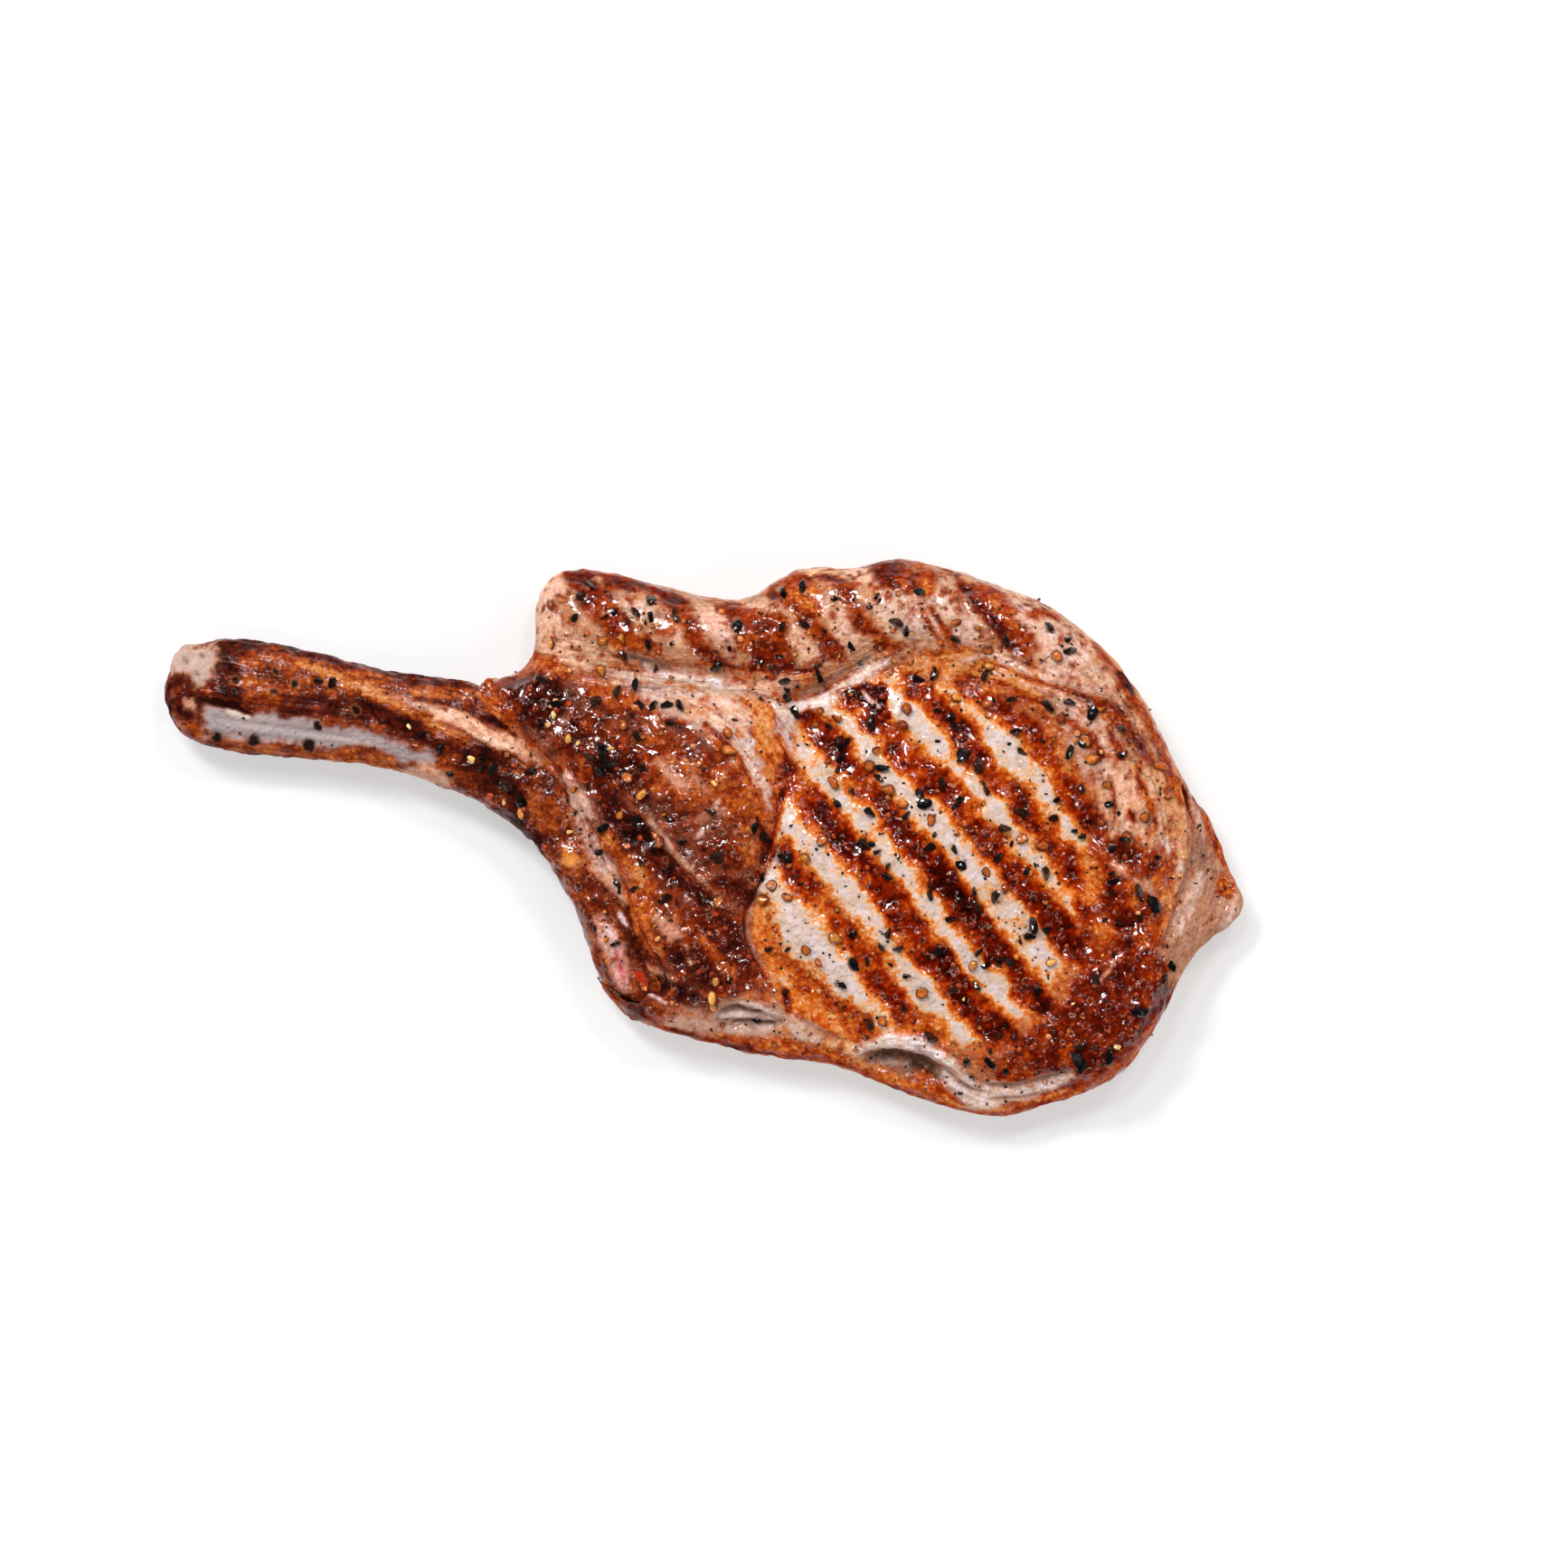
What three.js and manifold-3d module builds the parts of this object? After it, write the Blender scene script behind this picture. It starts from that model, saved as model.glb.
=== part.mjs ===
// A grilled pork rib chop, lying flat: a long trimmed rib bone that makes a handle, and the loin meat round
// its inner end. Millimetres, +Z up. The origin is the middle of the box that the chop fills, at table height.
// The bone points to -X, and the fat cap runs along the +Y side.

import * as THREE from "three";
import { mergeVertices } from "three/addons/utils/BufferGeometryUtils.js";
import Module from "manifold-3d";

const wasm = await Module();
wasm.setup();

// ---------------------------------------------------------------- driving dimensions

const PLAIN_THICKNESS = 15.5; // the meat away from its muscles' crowns
const EDGE_RADIUS = 6.0; // how the top rounds over into the side
const FOOT_RADIUS = 3.0; // how the side rounds under to the flat underside
const SIDE_LOW = 5.0; // the side is widest between these two heights
const SIDE_HIGH = 7.5;
const THINNEST = 8.5;
const FIT_GAP = 0.35; // between the bone and the meat around it
const OUTLINE_STEPS = 132; // corners of one ring round the meat
const CREASE_STEPS = 40; // corners of one ridge's or furrow's line
const CREASE_BLEND = 3; // how sharply two furrows that meet give way to the deeper one
// Where the rings lie, as shares of the way from the meat's middle to its edge.
const TOP_RINGS = [
  1, 0.985, 0.965, 0.94, 0.91, 0.87, 0.82, 0.77, 0.72, 0.67, 0.62, 0.57, 0.52, 0.47, 0.42, 0.36, 0.28, 0.18,
  0.08,
];
const FOOT_RINGS = [0.5, 0.86, 0.95, 0.975, 0.99, 1];

const RIB_STEPS = 40;
const RIB_SIDES = 18;
const RIB_SQUARENESS = 2.6; // 2 is an ellipse, more is a rounder-cornered bar
const RIB_END_RADIUS = 4.0;
const RIB_END_SHARE = 0.3; // of the bone's section, left at its sawn ends

// ---------------------------------------------------------------- outlines, seen from above

// The meat's edge: up from the neck round the lobe, along the fat cap, round the flap, back along the belly
// side, and last inside the rib bone, which takes the meat's place there.
const MEAT_OUTLINE = [
  [-47, 32], [-41.5, 33.3], [-37.3, 35.7], [-35.4, 39.5], [-35.4, 46.7], [-34.5, 51.5], [-31.6, 55.1],
  [-27.3, 56.2], [-19.7, 55.3], [-10.2, 53], [-0.7, 50.7], [5, 49.8], [10.2, 50.7], [15.5, 54], [20.2, 56.4],
  [26, 56.6], [31.6, 56.4], [36.4, 57.9], [40.8, 58.6], [46.8, 57.4], [54.4, 55.5], [63, 52.4], [71.5, 49],
  [79.1, 43.7], [86.7, 36.7], [91.9, 29.3], [96.2, 21.1], [99.7, 13.9], [103.8, 7], [107.3, 1.1], [110.1, -6.5],
  [113.1, -12.2], [113.5, -14.6], [111.6, -17.7], [106.3, -21.3], [101, -27.4], [97.6, -34.6], [93, -42.6],
  [87.7, -49.4], [81, -53], [72.5, -55.9], [62.6, -58.5], [54.4, -57.4], [44, -54.3], [35.4, -50.7],
  [27.8, -47.9], [19.3, -46.6], [9.8, -45.4], [1.2, -43.1], [-6.4, -41.4], [-14, -38.2], [-20, -33.6],
  [-22.6, -28.6], [-19.5, -22.5], [-21.5, -13], [-27.5, -1], [-36, 9.5], [-44.5, 18], [-48.5, 25],
];
const MEAT_MIDDLE = [42, -1]; // every point of the outline is in plain sight of this one

// The rib bone's two long edges, from the trimmed end along the handle, then round the chop's inner side to
// the chine.
const RIB_TOP_EDGE = [
  [-113, 38.6], [-101.4, 41.5], [-90, 40.8], [-78.6, 38.2], [-67.2, 35.3], [-56.7, 33.8], [-47, 32],
  [-39.3, 24.2], [-31.6, 16], [-25.4, 6.8], [-20.6, -2.7], [-15.5, -11.2], [-12.1, -19.8], [-9.3, -26],
  [-7.6, -30], [-6.4, -32.6],
];
const RIB_LOW_EDGE = [
  [-113, 22.6], [-101.4, 18.6], [-90, 17.1], [-78.6, 16.3], [-68.1, 14.8], [-58.7, 12], [-49, 8.3], [-41.5, 4],
  [-35.8, -1.1], [-30.7, -8.4], [-26.7, -15.6], [-24.4, -22.6], [-22.7, -28], [-19.6, -31.6], [-15.6, -34],
  [-11.2, -35.4],
];
const RIB_THICKNESS = [12.5, 13, 13.5, 14.2, 14.5, 14, 13, 11.5]; // along its length
const RIB_MIDDLE_HEIGHT = [7.2, 7.3, 7.8, 8.6, 8.8, 8.6, 8.3, 8]; // of its centre line above the table

// ---------------------------------------------------------------- the meat's relief

// Each crown is a soft mound: where, how high, its two radii and how far it is turned.
const CROWNS = [
  { at: [48.4, -5.5], height: 6.2, radii: [31, 33], turn: 0 }, // the loin eye
  { at: [-13, 8.7], height: 3.4, radii: [24, 15], turn: -42 }, // the dark muscle beside the rib
  { at: [-1.6, -21.7], height: 2.2, radii: [14, 15], turn: 0 }, // its lower end
  { at: [107.6, -11.2], height: -7, radii: [10, 14], turn: 0 }, // the thin flap
  { at: [-30, 48], height: -2.2, radii: [16, 12], turn: 0 }, // the lobe by the handle
];
// A ridge or furrow follows a curve: how high or deep it is, how wide, and the points on its way.
const FAT_CAP_RIDGE = {
  height: 2.6,
  width: 9,
  along: [
    [-25, 46], [-5, 42], [14, 43], [33, 46], [53, 44], [72, 37], [86, 24], [92, 8], [92, -8], [91, -23],
    [86, -38],
  ],
};
const EYE_FURROW = {
  height: -2.4,
  width: 5,
  along: [[22, 23], [17, 12.5], [12.6, -0.8], [9.8, -14], [10.9, -24.5], [17.4, -32], [28.8, -40.7]],
};
const CAP_FURROW = {
  height: -2.4,
  width: 5,
  along: [[-22, 34.5], [0.3, 32], [19.3, 30], [31.6, 33.8], [44, 37.6], [58, 35.5]],
};
const BELLY_FURROW = {
  height: -4.2,
  width: 5.5,
  along: [[2, -41.5], [22, -44], [42, -51], [60, -55], [72, -53.5]],
};
const FURROWS = [EYE_FURROW, CAP_FURROW, BELLY_FURROW];

// ---------------------------------------------------------------- small tools

const curveOf = (points, closed = false) =>
  new THREE.CatmullRomCurve3(points.map(([x, y]) => new THREE.Vector3(x, y, 0)), closed, "centripetal");

// A value read along a list, with smooth steps between its entries. t runs from 0 to 1.
function valueAlong(list, t) {
  const place = t * (list.length - 1);
  const i = Math.min(Math.floor(place), list.length - 2);
  return THREE.MathUtils.lerp(list[i], list[i + 1], THREE.MathUtils.smoothstep(place - i, 0, 1));
}

// The shortest way from (x, y) to a run of points.
function distanceTo(run, x, y) {
  let nearest = Infinity;
  for (let i = 0; i + 1 < run.length; i++) {
    const ax = run[i].x;
    const ay = run[i].y;
    const ux = run[i + 1].x - ax;
    const uy = run[i + 1].y - ay;
    const along = THREE.MathUtils.clamp(((x - ax) * ux + (y - ay) * uy) / (ux * ux + uy * uy), 0, 1);
    nearest = Math.min(nearest, Math.hypot(x - ax - along * ux, y - ay - along * uy));
  }
  return nearest;
}

// A closed skin over rings of equally many points, with a single point at each end.
function skinOver(rings, firstPoint, lastPoint) {
  const count = rings[0].length;
  const positions = [firstPoint, ...rings.flat(), lastPoint].flatMap((p) => [p.x, p.y, p.z]);
  const last = positions.length / 3 - 1;
  const at = (ring, i) => 1 + ring * count + (i % count);
  const faces = [];
  for (let i = 0; i < count; i++) {
    faces.push(0, at(0, i), at(0, i + 1));
    for (let ring = 0; ring + 1 < rings.length; ring++) {
      faces.push(at(ring, i), at(ring + 1, i), at(ring + 1, i + 1));
      faces.push(at(ring, i), at(ring + 1, i + 1), at(ring, i + 1));
    }
    faces.push(at(rings.length - 1, i), last, at(rings.length - 1, i + 1));
  }
  return new THREE.BufferGeometry()
    .setAttribute("position", new THREE.Float32BufferAttribute(positions, 3))
    .setIndex(faces);
}

function solidOf(geometry) {
  const merged = mergeVertices(geometry);
  return new wasm.Manifold(
    new wasm.Mesh({
      numProp: 3,
      vertProperties: new Float32Array(merged.attributes.position.array),
      triVerts: new Uint32Array(merged.index.array),
    }),
  );
}

function geometryOf(solid) {
  const { vertProperties, triVerts } = solid.getMesh();
  const geometry = new THREE.BufferGeometry();
  geometry.setAttribute("position", new THREE.BufferAttribute(vertProperties, 3));
  geometry.setIndex(new THREE.BufferAttribute(triVerts, 1));
  geometry.computeVertexNormals();
  return geometry;
}

// ---------------------------------------------------------------- the meat

const outline = curveOf(MEAT_OUTLINE, true).getSpacedPoints(OUTLINE_STEPS);
const withRun = (crease) => ({ ...crease, run: curveOf(crease.along).getPoints(CREASE_STEPS) });
const ridge = withRun(FAT_CAP_RIDGE);
const furrows = FURROWS.map(withRun);

function crownHeight({ at, height, radii, turn }, x, y) {
  const angle = THREE.MathUtils.degToRad(turn);
  const dx = x - at[0];
  const dy = y - at[1];
  const along = (dx * Math.cos(angle) + dy * Math.sin(angle)) / radii[0];
  const across = (dy * Math.cos(angle) - dx * Math.sin(angle)) / radii[1];
  return height * Math.exp(-along * along - across * across);
}

const creaseHeight = ({ height, width, run }, x, y) =>
  height * Math.exp(-((distanceTo(run, x, y) / width) ** 2));

// How thick the meat is at (x, y), before its edge rounds over. Where two furrows meet, the deeper counts.
function thickness(x, y) {
  const crowns = CROWNS.reduce((sum, crown) => sum + crownHeight(crown, x, y), 0);
  const depths = furrows.map((furrow) => Math.abs(creaseHeight(furrow, x, y)) ** CREASE_BLEND);
  const deepest = depths.reduce((sum, depth) => sum + depth, 0) ** (1 / CREASE_BLEND);
  return Math.max(THINNEST, PLAIN_THICKNESS + crowns + creaseHeight(ridge, x, y) - deepest);
}

// A quarter circle's rise, from 0 at the edge to 1 at a radius inside it.
const roundOver = (inside, radius) => Math.sqrt(1 - (1 - Math.min(inside / radius, 1)) ** 2);

function meatRing(share, heightAt) {
  return outline.slice(0, OUTLINE_STEPS).map((edge) => {
    const x = THREE.MathUtils.lerp(MEAT_MIDDLE[0], edge.x, share);
    const y = THREE.MathUtils.lerp(MEAT_MIDDLE[1], edge.y, share);
    return new THREE.Vector3(x, y, heightAt(x, y, distanceTo(outline, x, y)));
  });
}

const topHeight = (x, y, inside) =>
  THREE.MathUtils.lerp(SIDE_HIGH, thickness(x, y), roundOver(inside, EDGE_RADIUS));
const footHeight = (x, y, inside) => SIDE_LOW * (1 - roundOver(inside, FOOT_RADIUS));

function meatSolid() {
  const foot = FOOT_RINGS.map((share) => meatRing(share, footHeight));
  const top = TOP_RINGS.map((share) => meatRing(share, topHeight));
  const [x, y] = MEAT_MIDDLE;
  const under = new THREE.Vector3(x, y, 0);
  const crown = new THREE.Vector3(x, y, thickness(x, y));
  return solidOf(skinOver([...foot, ...top], under, crown));
}

// ---------------------------------------------------------------- the rib bone

const topEdge = curveOf(RIB_TOP_EDGE);
const lowEdge = curveOf(RIB_LOW_EDGE);
const ribLength = (topEdge.getLength() + lowEdge.getLength()) / 2;

const squared = (value) => Math.sign(value) * Math.abs(value) ** (2 / RIB_SQUARENESS);

// The bone's section at t, from 0 at the handle's end to 1 at the chine, grown by a margin all round and made tall.
function ribRing(t, margin, tallness) {
  const high = topEdge.getPoint(t);
  const low = lowEdge.getPoint(t);
  const middle = high.clone().add(low).multiplyScalar(0.5);
  const halfWidth = high.distanceTo(low) / 2;
  const across = high.clone().sub(low).normalize();
  const fromEnd = Math.min(t, 1 - t) * ribLength;
  const fill = Math.max(RIB_END_SHARE, roundOver(fromEnd, RIB_END_RADIUS));
  const reach = halfWidth * fill + margin;
  const rise = (valueAlong(RIB_THICKNESS, t) / 2) * fill * tallness + margin;
  return Array.from({ length: RIB_SIDES }, (_, i) => {
    const angle = (-2 * Math.PI * i) / RIB_SIDES;
    const point = middle.clone().addScaledVector(across, reach * squared(Math.cos(angle)));
    point.z = valueAlong(RIB_MIDDLE_HEIGHT, t) + rise * squared(Math.sin(angle));
    return point;
  });
}

function ribSolid(margin = 0, tallness = 1) {
  // Closer steps at the two ends, where it rounds off.
  const closer = (share) => (1 - Math.cos(Math.PI * share)) / 2;
  const steps = Array.from({ length: RIB_STEPS + 1 }, (_, i) => closer(i / RIB_STEPS));
  const rings = steps.map((t) => ribRing(t, margin, tallness));
  const middleOf = (ring) => ring.reduce((sum, p) => sum.add(p), new THREE.Vector3()).divideScalar(ring.length);
  return solidOf(skinOver(rings, middleOf(rings[0]), middleOf(rings.at(-1))));
}

// ---------------------------------------------------------------- the chop

const looks = {
  loin_meat: new THREE.MeshStandardMaterial({ color: 0xa8602f, roughness: 0.45, metalness: 0 }),
  rib_bone: new THREE.MeshStandardMaterial({ color: 0x8f5230, roughness: 0.5, metalness: 0 }),
};

function named(name, solid) {
  const mesh = new THREE.Mesh(geometryOf(solid), looks[name]);
  mesh.name = name;
  return mesh;
}

const CLEAR_THROUGH = 5; // makes the cutter taller than the meat, so the cut goes right through

const chop = new THREE.Group();
chop.add(named("rib_bone", ribSolid()));
chop.add(named("loin_meat", meatSolid().subtract(ribSolid(FIT_GAP, CLEAR_THROUGH))));

// Set over its own origin: the middle of the box it fills, at table height.
const middle = new THREE.Box3().setFromObject(chop).getCenter(new THREE.Vector3());
chop.position.set(-middle.x, -middle.y, 0);

export default chop;
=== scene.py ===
"""A grilled pork rib chop with its long rib bone, seasoned with cracked pepper and mustard seed, on a table.

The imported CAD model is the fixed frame. Sizes on the chop are in millimetres, and Blender's own in metres.
"""

import math
from itertools import product

import bmesh
import bpy
import numpy as np
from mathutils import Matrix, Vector


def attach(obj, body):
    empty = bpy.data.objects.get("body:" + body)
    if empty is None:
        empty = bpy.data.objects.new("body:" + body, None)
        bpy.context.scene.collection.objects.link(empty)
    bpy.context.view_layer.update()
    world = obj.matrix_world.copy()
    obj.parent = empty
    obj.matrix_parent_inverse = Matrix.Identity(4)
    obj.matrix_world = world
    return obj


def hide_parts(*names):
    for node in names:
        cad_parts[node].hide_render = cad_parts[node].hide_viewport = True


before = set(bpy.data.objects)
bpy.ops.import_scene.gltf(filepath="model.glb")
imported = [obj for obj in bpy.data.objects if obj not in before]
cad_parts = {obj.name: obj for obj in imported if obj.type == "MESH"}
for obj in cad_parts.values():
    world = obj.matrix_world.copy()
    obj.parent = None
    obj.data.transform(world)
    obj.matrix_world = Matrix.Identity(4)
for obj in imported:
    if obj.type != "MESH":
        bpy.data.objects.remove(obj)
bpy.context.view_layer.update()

# ----------------------------------------------------------------------------------------------- the rib bone
# A pork rib with its meat trimmed off to make a handle. Grey-white bone shows where the membrane has shrunk
# back, and the rest is browned membrane and scraps of flesh, darkest along the edges that touched the grill.
# Inside the chop the same bone runs on down the left edge to the chine, under a glazed skin.

MM = 0.001


def near(value, low, high):
    """A smooth step from 0 at low to 1 at high."""
    share = np.clip((value - low) / (high - low), 0, 1)
    return share * share * (3 - 2 * share)


def linear(code):
    """A six-digit sRGB hex value as linear red, green and blue."""
    parts = np.array([int(code[i : i + 2], 16) / 255 for i in (0, 2, 4)])
    return np.where(parts <= 0.04045, parts / 12.92, ((parts + 0.055) / 1.055) ** 2.4)


# Large primes that scatter a cell's place and a seed into the cell's random height.
PLACE_PRIMES = np.array([73856093, 19349663, 83492791])
SEED_PRIME = 961748927
STIRRING = ((13, 1274126177), (16, 73244475))


def lumps(place, size, seed):
    """Smooth random heights from about -1 to 1, with lumps of that size in mm, and half as large ones on
    them."""
    total = np.zeros(len(place))
    for octave in range(2):
        scaled = place * (2**octave / size)
        cell = np.floor(scaled).astype(np.int64)
        part = scaled - cell
        part = part * part * part * (part * (part * 6 - 15) + 10)
        for corner in product((0, 1), repeat=3):
            key = (cell + corner) @ PLACE_PRIMES + (seed + octave) * SEED_PRIME
            for shift, prime in STIRRING:
                key = (key ^ (key >> shift)) * prime & 0xFFFFFFFF
            height = ((key ^ (key >> 15)) & 0xFFFF) / 32767.5 - 1
            share = np.prod(np.where(corner, part, 1 - part), axis=1)
            total += height * share / 1.6**octave
    return total


STEP = 1.2  # between the points along a curve


def smooth_run(points, closed=False, step=STEP):
    """Points along a smooth curve through the given ones, about a step apart."""
    p = np.array(points, float)
    if len(p) == 2 and not closed:
        p = np.array([p[0], p.mean(0), p[1]])
    ring = np.vstack([p[-1:], p, p[:2]]) if closed else np.vstack([2 * p[0] - p[1], p, 2 * p[-1] - p[-2]])
    run = []
    for a, b, c, d in zip(ring, ring[1:], ring[2:], ring[3:]):
        square, cube = 2 * a - 5 * b + 4 * c - d, 3 * b - a - 3 * c + d
        count = max(2, int(np.linalg.norm(c - b) / step))
        for t in np.arange(count)[:, None] / count:
            run.append(0.5 * (2 * b + (c - a) * t + square * t**2 + cube * t**3))
    run = np.array(run).reshape(-1, p.shape[1])
    return np.vstack([run, run[:1] if closed else p[-1:]])


def corners_of(mesh):
    """The place of each corner in mm, and its normal."""
    places = np.empty(len(mesh.vertices) * 3)
    mesh.vertices.foreach_get("co", places)
    normals = np.empty(len(mesh.vertices) * 3)
    mesh.vertex_normals.foreach_get("vector", normals)
    return places.reshape(-1, 3) / MM, normals.reshape(-1, 3)


def store_tint(mesh, tints):
    """Keeps a colour at each corner, for the material to read."""
    colours = np.ones((len(tints), 4), np.float32)
    colours[:, :3] = tints
    mesh.attributes.new("tint", "FLOAT_COLOR", "POINT").data.foreach_set("color", colours.ravel())


class Skin:
    """The corners of a piece's mesh in mm, with what is painted on them: tint, how seared, wet, clean and
    fatty each is, the direction of its fibres, and its lift along the normal."""

    def __init__(self, piece, seed):
        self.piece = piece
        self.place, self.normal = corners_of(piece.data)
        count = len(self.place)
        # How much each corner faces up, and how much down.
        self.top = near(self.normal[:, 2], 0.05, 0.55)
        self.under = near(-self.normal[:, 2], 0.4, 0.8)
        self.whole = np.ones(count)
        self.tint = np.zeros((count, 3))
        self.sear = np.zeros(count)
        self.wet = np.zeros(count)
        self.clean = np.zeros(count)
        self.fatty = np.ones(count)
        self.lift = np.zeros(count)
        # Painted edges wander by this much, in mm, so that none is clean.
        self.wander = 0.75 * lumps(self.place, 3.4, seed) + 0.45 * lumps(self.place, 1.1, seed + 9)
        # Fibres: how far across them and along them each corner is in mm, and how stringy it is there.
        self.fibre = np.zeros((count, 3))
        # How far along the last measured line each corner's nearest point is, from 0 to 1.
        self.along = np.zeros(count)

    def distance(self, run, reach):
        """How far each corner is from a run of points, seen from above, out to a reach."""
        xy = self.place[:, :2]
        chosen = np.flatnonzero(np.all((xy > run.min(0) - reach) & (xy < run.max(0) + reach), axis=1))
        nearest = np.full(len(chosen), float(reach))
        share = np.zeros(len(chosen))
        for i, (a, b) in enumerate(zip(run, run[1:])):
            way = b - a
            length = max(way @ way, 1e-9)
            off = xy[chosen] - a
            t = np.clip(off @ way / length, 0, 1)
            gap = np.linalg.norm(off - t[:, None] * way, axis=1)
            closer = gap < nearest
            nearest = np.where(closer, gap, nearest)
            share = np.where(closer, (i + t) / (len(run) - 1), share)
        far = np.full(len(xy), float(reach))
        far[chosen] = nearest
        self.along[:] = 0
        self.along[chosen] = share
        return far

    def band(self, points, width):
        """1 along a mark through the points, falling to 0 past its width. Its two ends are half as wide."""
        soft = min(1.3, 0.5 * width)
        gap = self.distance(smooth_run(points), width / 2 + soft * 2 + 4) + self.wander * min(1.0, width / 3)
        half = width / 2 * (1 - 0.5 * np.abs(2 * self.along - 1) ** 2)
        return 1 - near(gap, half - soft, half + soft)

    def patch(self, outline, soft=1.0, ragged=1.0):
        """1 inside an outline, falling to 0 across its edge."""
        run = smooth_run(outline, closed=True)
        gap = self.distance(run, soft * 2 + 4)
        x, y = self.place[:, 0], self.place[:, 1]
        inside = np.zeros(len(x), bool)
        for (ax, ay), (bx, by) in zip(run, run[1:]):
            crosses = (ay > y) != (by > y)
            if crosses.any():
                inside ^= crosses & (x < (bx - ax) * (y - ay) / (by - ay + 1e-12) + ax)
        return 1 - near(np.where(inside, -gap, gap) + self.wander * ragged, -soft, soft)

    def spot(self, at, radius, soft, ragged):
        """1 inside a circle, falling to 0 across its edge."""
        x, y = (self.place[:, :2] - at).T / radius
        return 1 - near(np.hypot(x, y) + self.wander * ragged / radius, 1 - soft, 1 + soft)

    def comb(self, outline, guide, strength):
        """Makes the surface inside an outline stringy, with fibres that run beside a guide line."""
        run = smooth_run(guide)
        mask = self.patch(outline, 2.0) * strength
        gap = self.distance(run, 30)
        chosen = mask > self.fibre[:, 2]
        self.fibre[chosen] = np.stack([gap, self.along * len(run) * STEP, mask], axis=1)[chosen]

    def dye(self, mask, code, strength=1.0, sear=None, wet=None):
        """Lays a colour over what is there, and with it how seared and how wet the surface is."""
        mask = mask * strength
        self.tint += (linear(code) - self.tint) * mask[:, None]
        if sear is not None:
            self.sear += (sear - self.sear) * mask
        if wet is not None:
            self.wet += (wet - self.wet) * mask

    def lay(self, rows):
        """Paints rows of look, width, points, wetness and lift. A look is a tint or a depth of sear, and a
        width of 0 fills the outline that the points make. Lift moves only the top."""
        for look, width, points, wet, lift in rows:
            if width:
                mask = self.band(points, width)
            else:
                mask = self.patch(points, 1.6, 1.4)
            if isinstance(look, str):
                self.dye(mask, look, wet=wet)
                self.clean += (1 - self.clean) * mask
            else:
                self.dye(mask, "B4683C", sear=look, wet=wet)
                self.clean *= 1 - mask
            self.lift += lift * mask * self.top

    def brown(self, depth):
        """Sears the surface to at least this depth, and it is no longer clean there."""
        self.sear = np.maximum(self.sear, depth)
        self.clean *= 1 - near(depth, 0.1, 0.6)

    def ground(self):
        """The finished corners and their normals, how wet each is, and how seared where it isn't clean."""
        return *corners_of(self.piece.data), self.wet, self.sear * (1 - self.clean)

    def finish(self):
        """Moves the corners by their lift, none below the table, and stores what is painted as attributes."""
        mesh = self.piece.data
        moved = self.place + self.normal * self.lift[:, None]
        moved[:, 2] = np.maximum(moved[:, 2], 0)
        mesh.vertices.foreach_set("co", (moved * MM).ravel())
        store_tint(mesh, self.tint)
        for name in ("sear", "wet", "clean", "fatty"):
            painted = mesh.attributes.new(name, "FLOAT", "POINT")
            painted.data.foreach_set("value", getattr(self, name).astype(np.float32))
        fibre = mesh.attributes.new("fibre", "FLOAT_VECTOR", "POINT")
        fibre.data.foreach_set("vector", self.fibre.astype(np.float32).ravel())
        mesh.update()


def new_object(name, data):
    """An object of this data, in the scene."""
    made = bpy.data.objects.new(name, data)
    bpy.context.scene.collection.objects.link(made)
    return made


def select(active, others=()):
    """Selects an object, with any others, and makes it the active one."""
    bpy.ops.object.select_all(action="DESELECT")
    for chosen in (active, *others):
        chosen.select_set(True)
    bpy.context.view_layer.objects.active = active


def apply(piece, kind, **settings):
    """Puts a modifier on a piece and applies it at once."""
    select(piece)
    modifier = piece.modifiers.new(kind.title(), kind)
    for key, value in settings.items():
        setattr(modifier, key, value)
    bpy.ops.object.modifier_apply(modifier=modifier.name)


WELD = 0.001 * MM  # corners of the CAD mesh this close are one


def fine_copy(name, node, voxel, rounding, extra=()):
    """A CAD node's shape as one fine even mesh, merged with extra solids that lie against it."""
    piece = new_object(name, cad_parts[node].data.copy())
    piece.data.materials.clear()
    for spare in [a.name for a in piece.data.attributes if a.name.startswith(("UV", "Color"))]:
        piece.data.attributes.remove(piece.data.attributes[spare])
    shape = bmesh.new()
    shape.from_mesh(piece.data)
    bmesh.ops.remove_doubles(shape, verts=shape.verts, dist=WELD)
    shape.to_mesh(piece.data)
    shape.free()
    if extra:
        select(piece, extra)
        bpy.ops.object.join()
    apply(piece, "REMESH", mode="VOXEL", voxel_size=voxel * MM)
    apply(piece, "SMOOTH", factor=0.5, iterations=rounding)
    piece.data.shade_smooth()
    return piece


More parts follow.
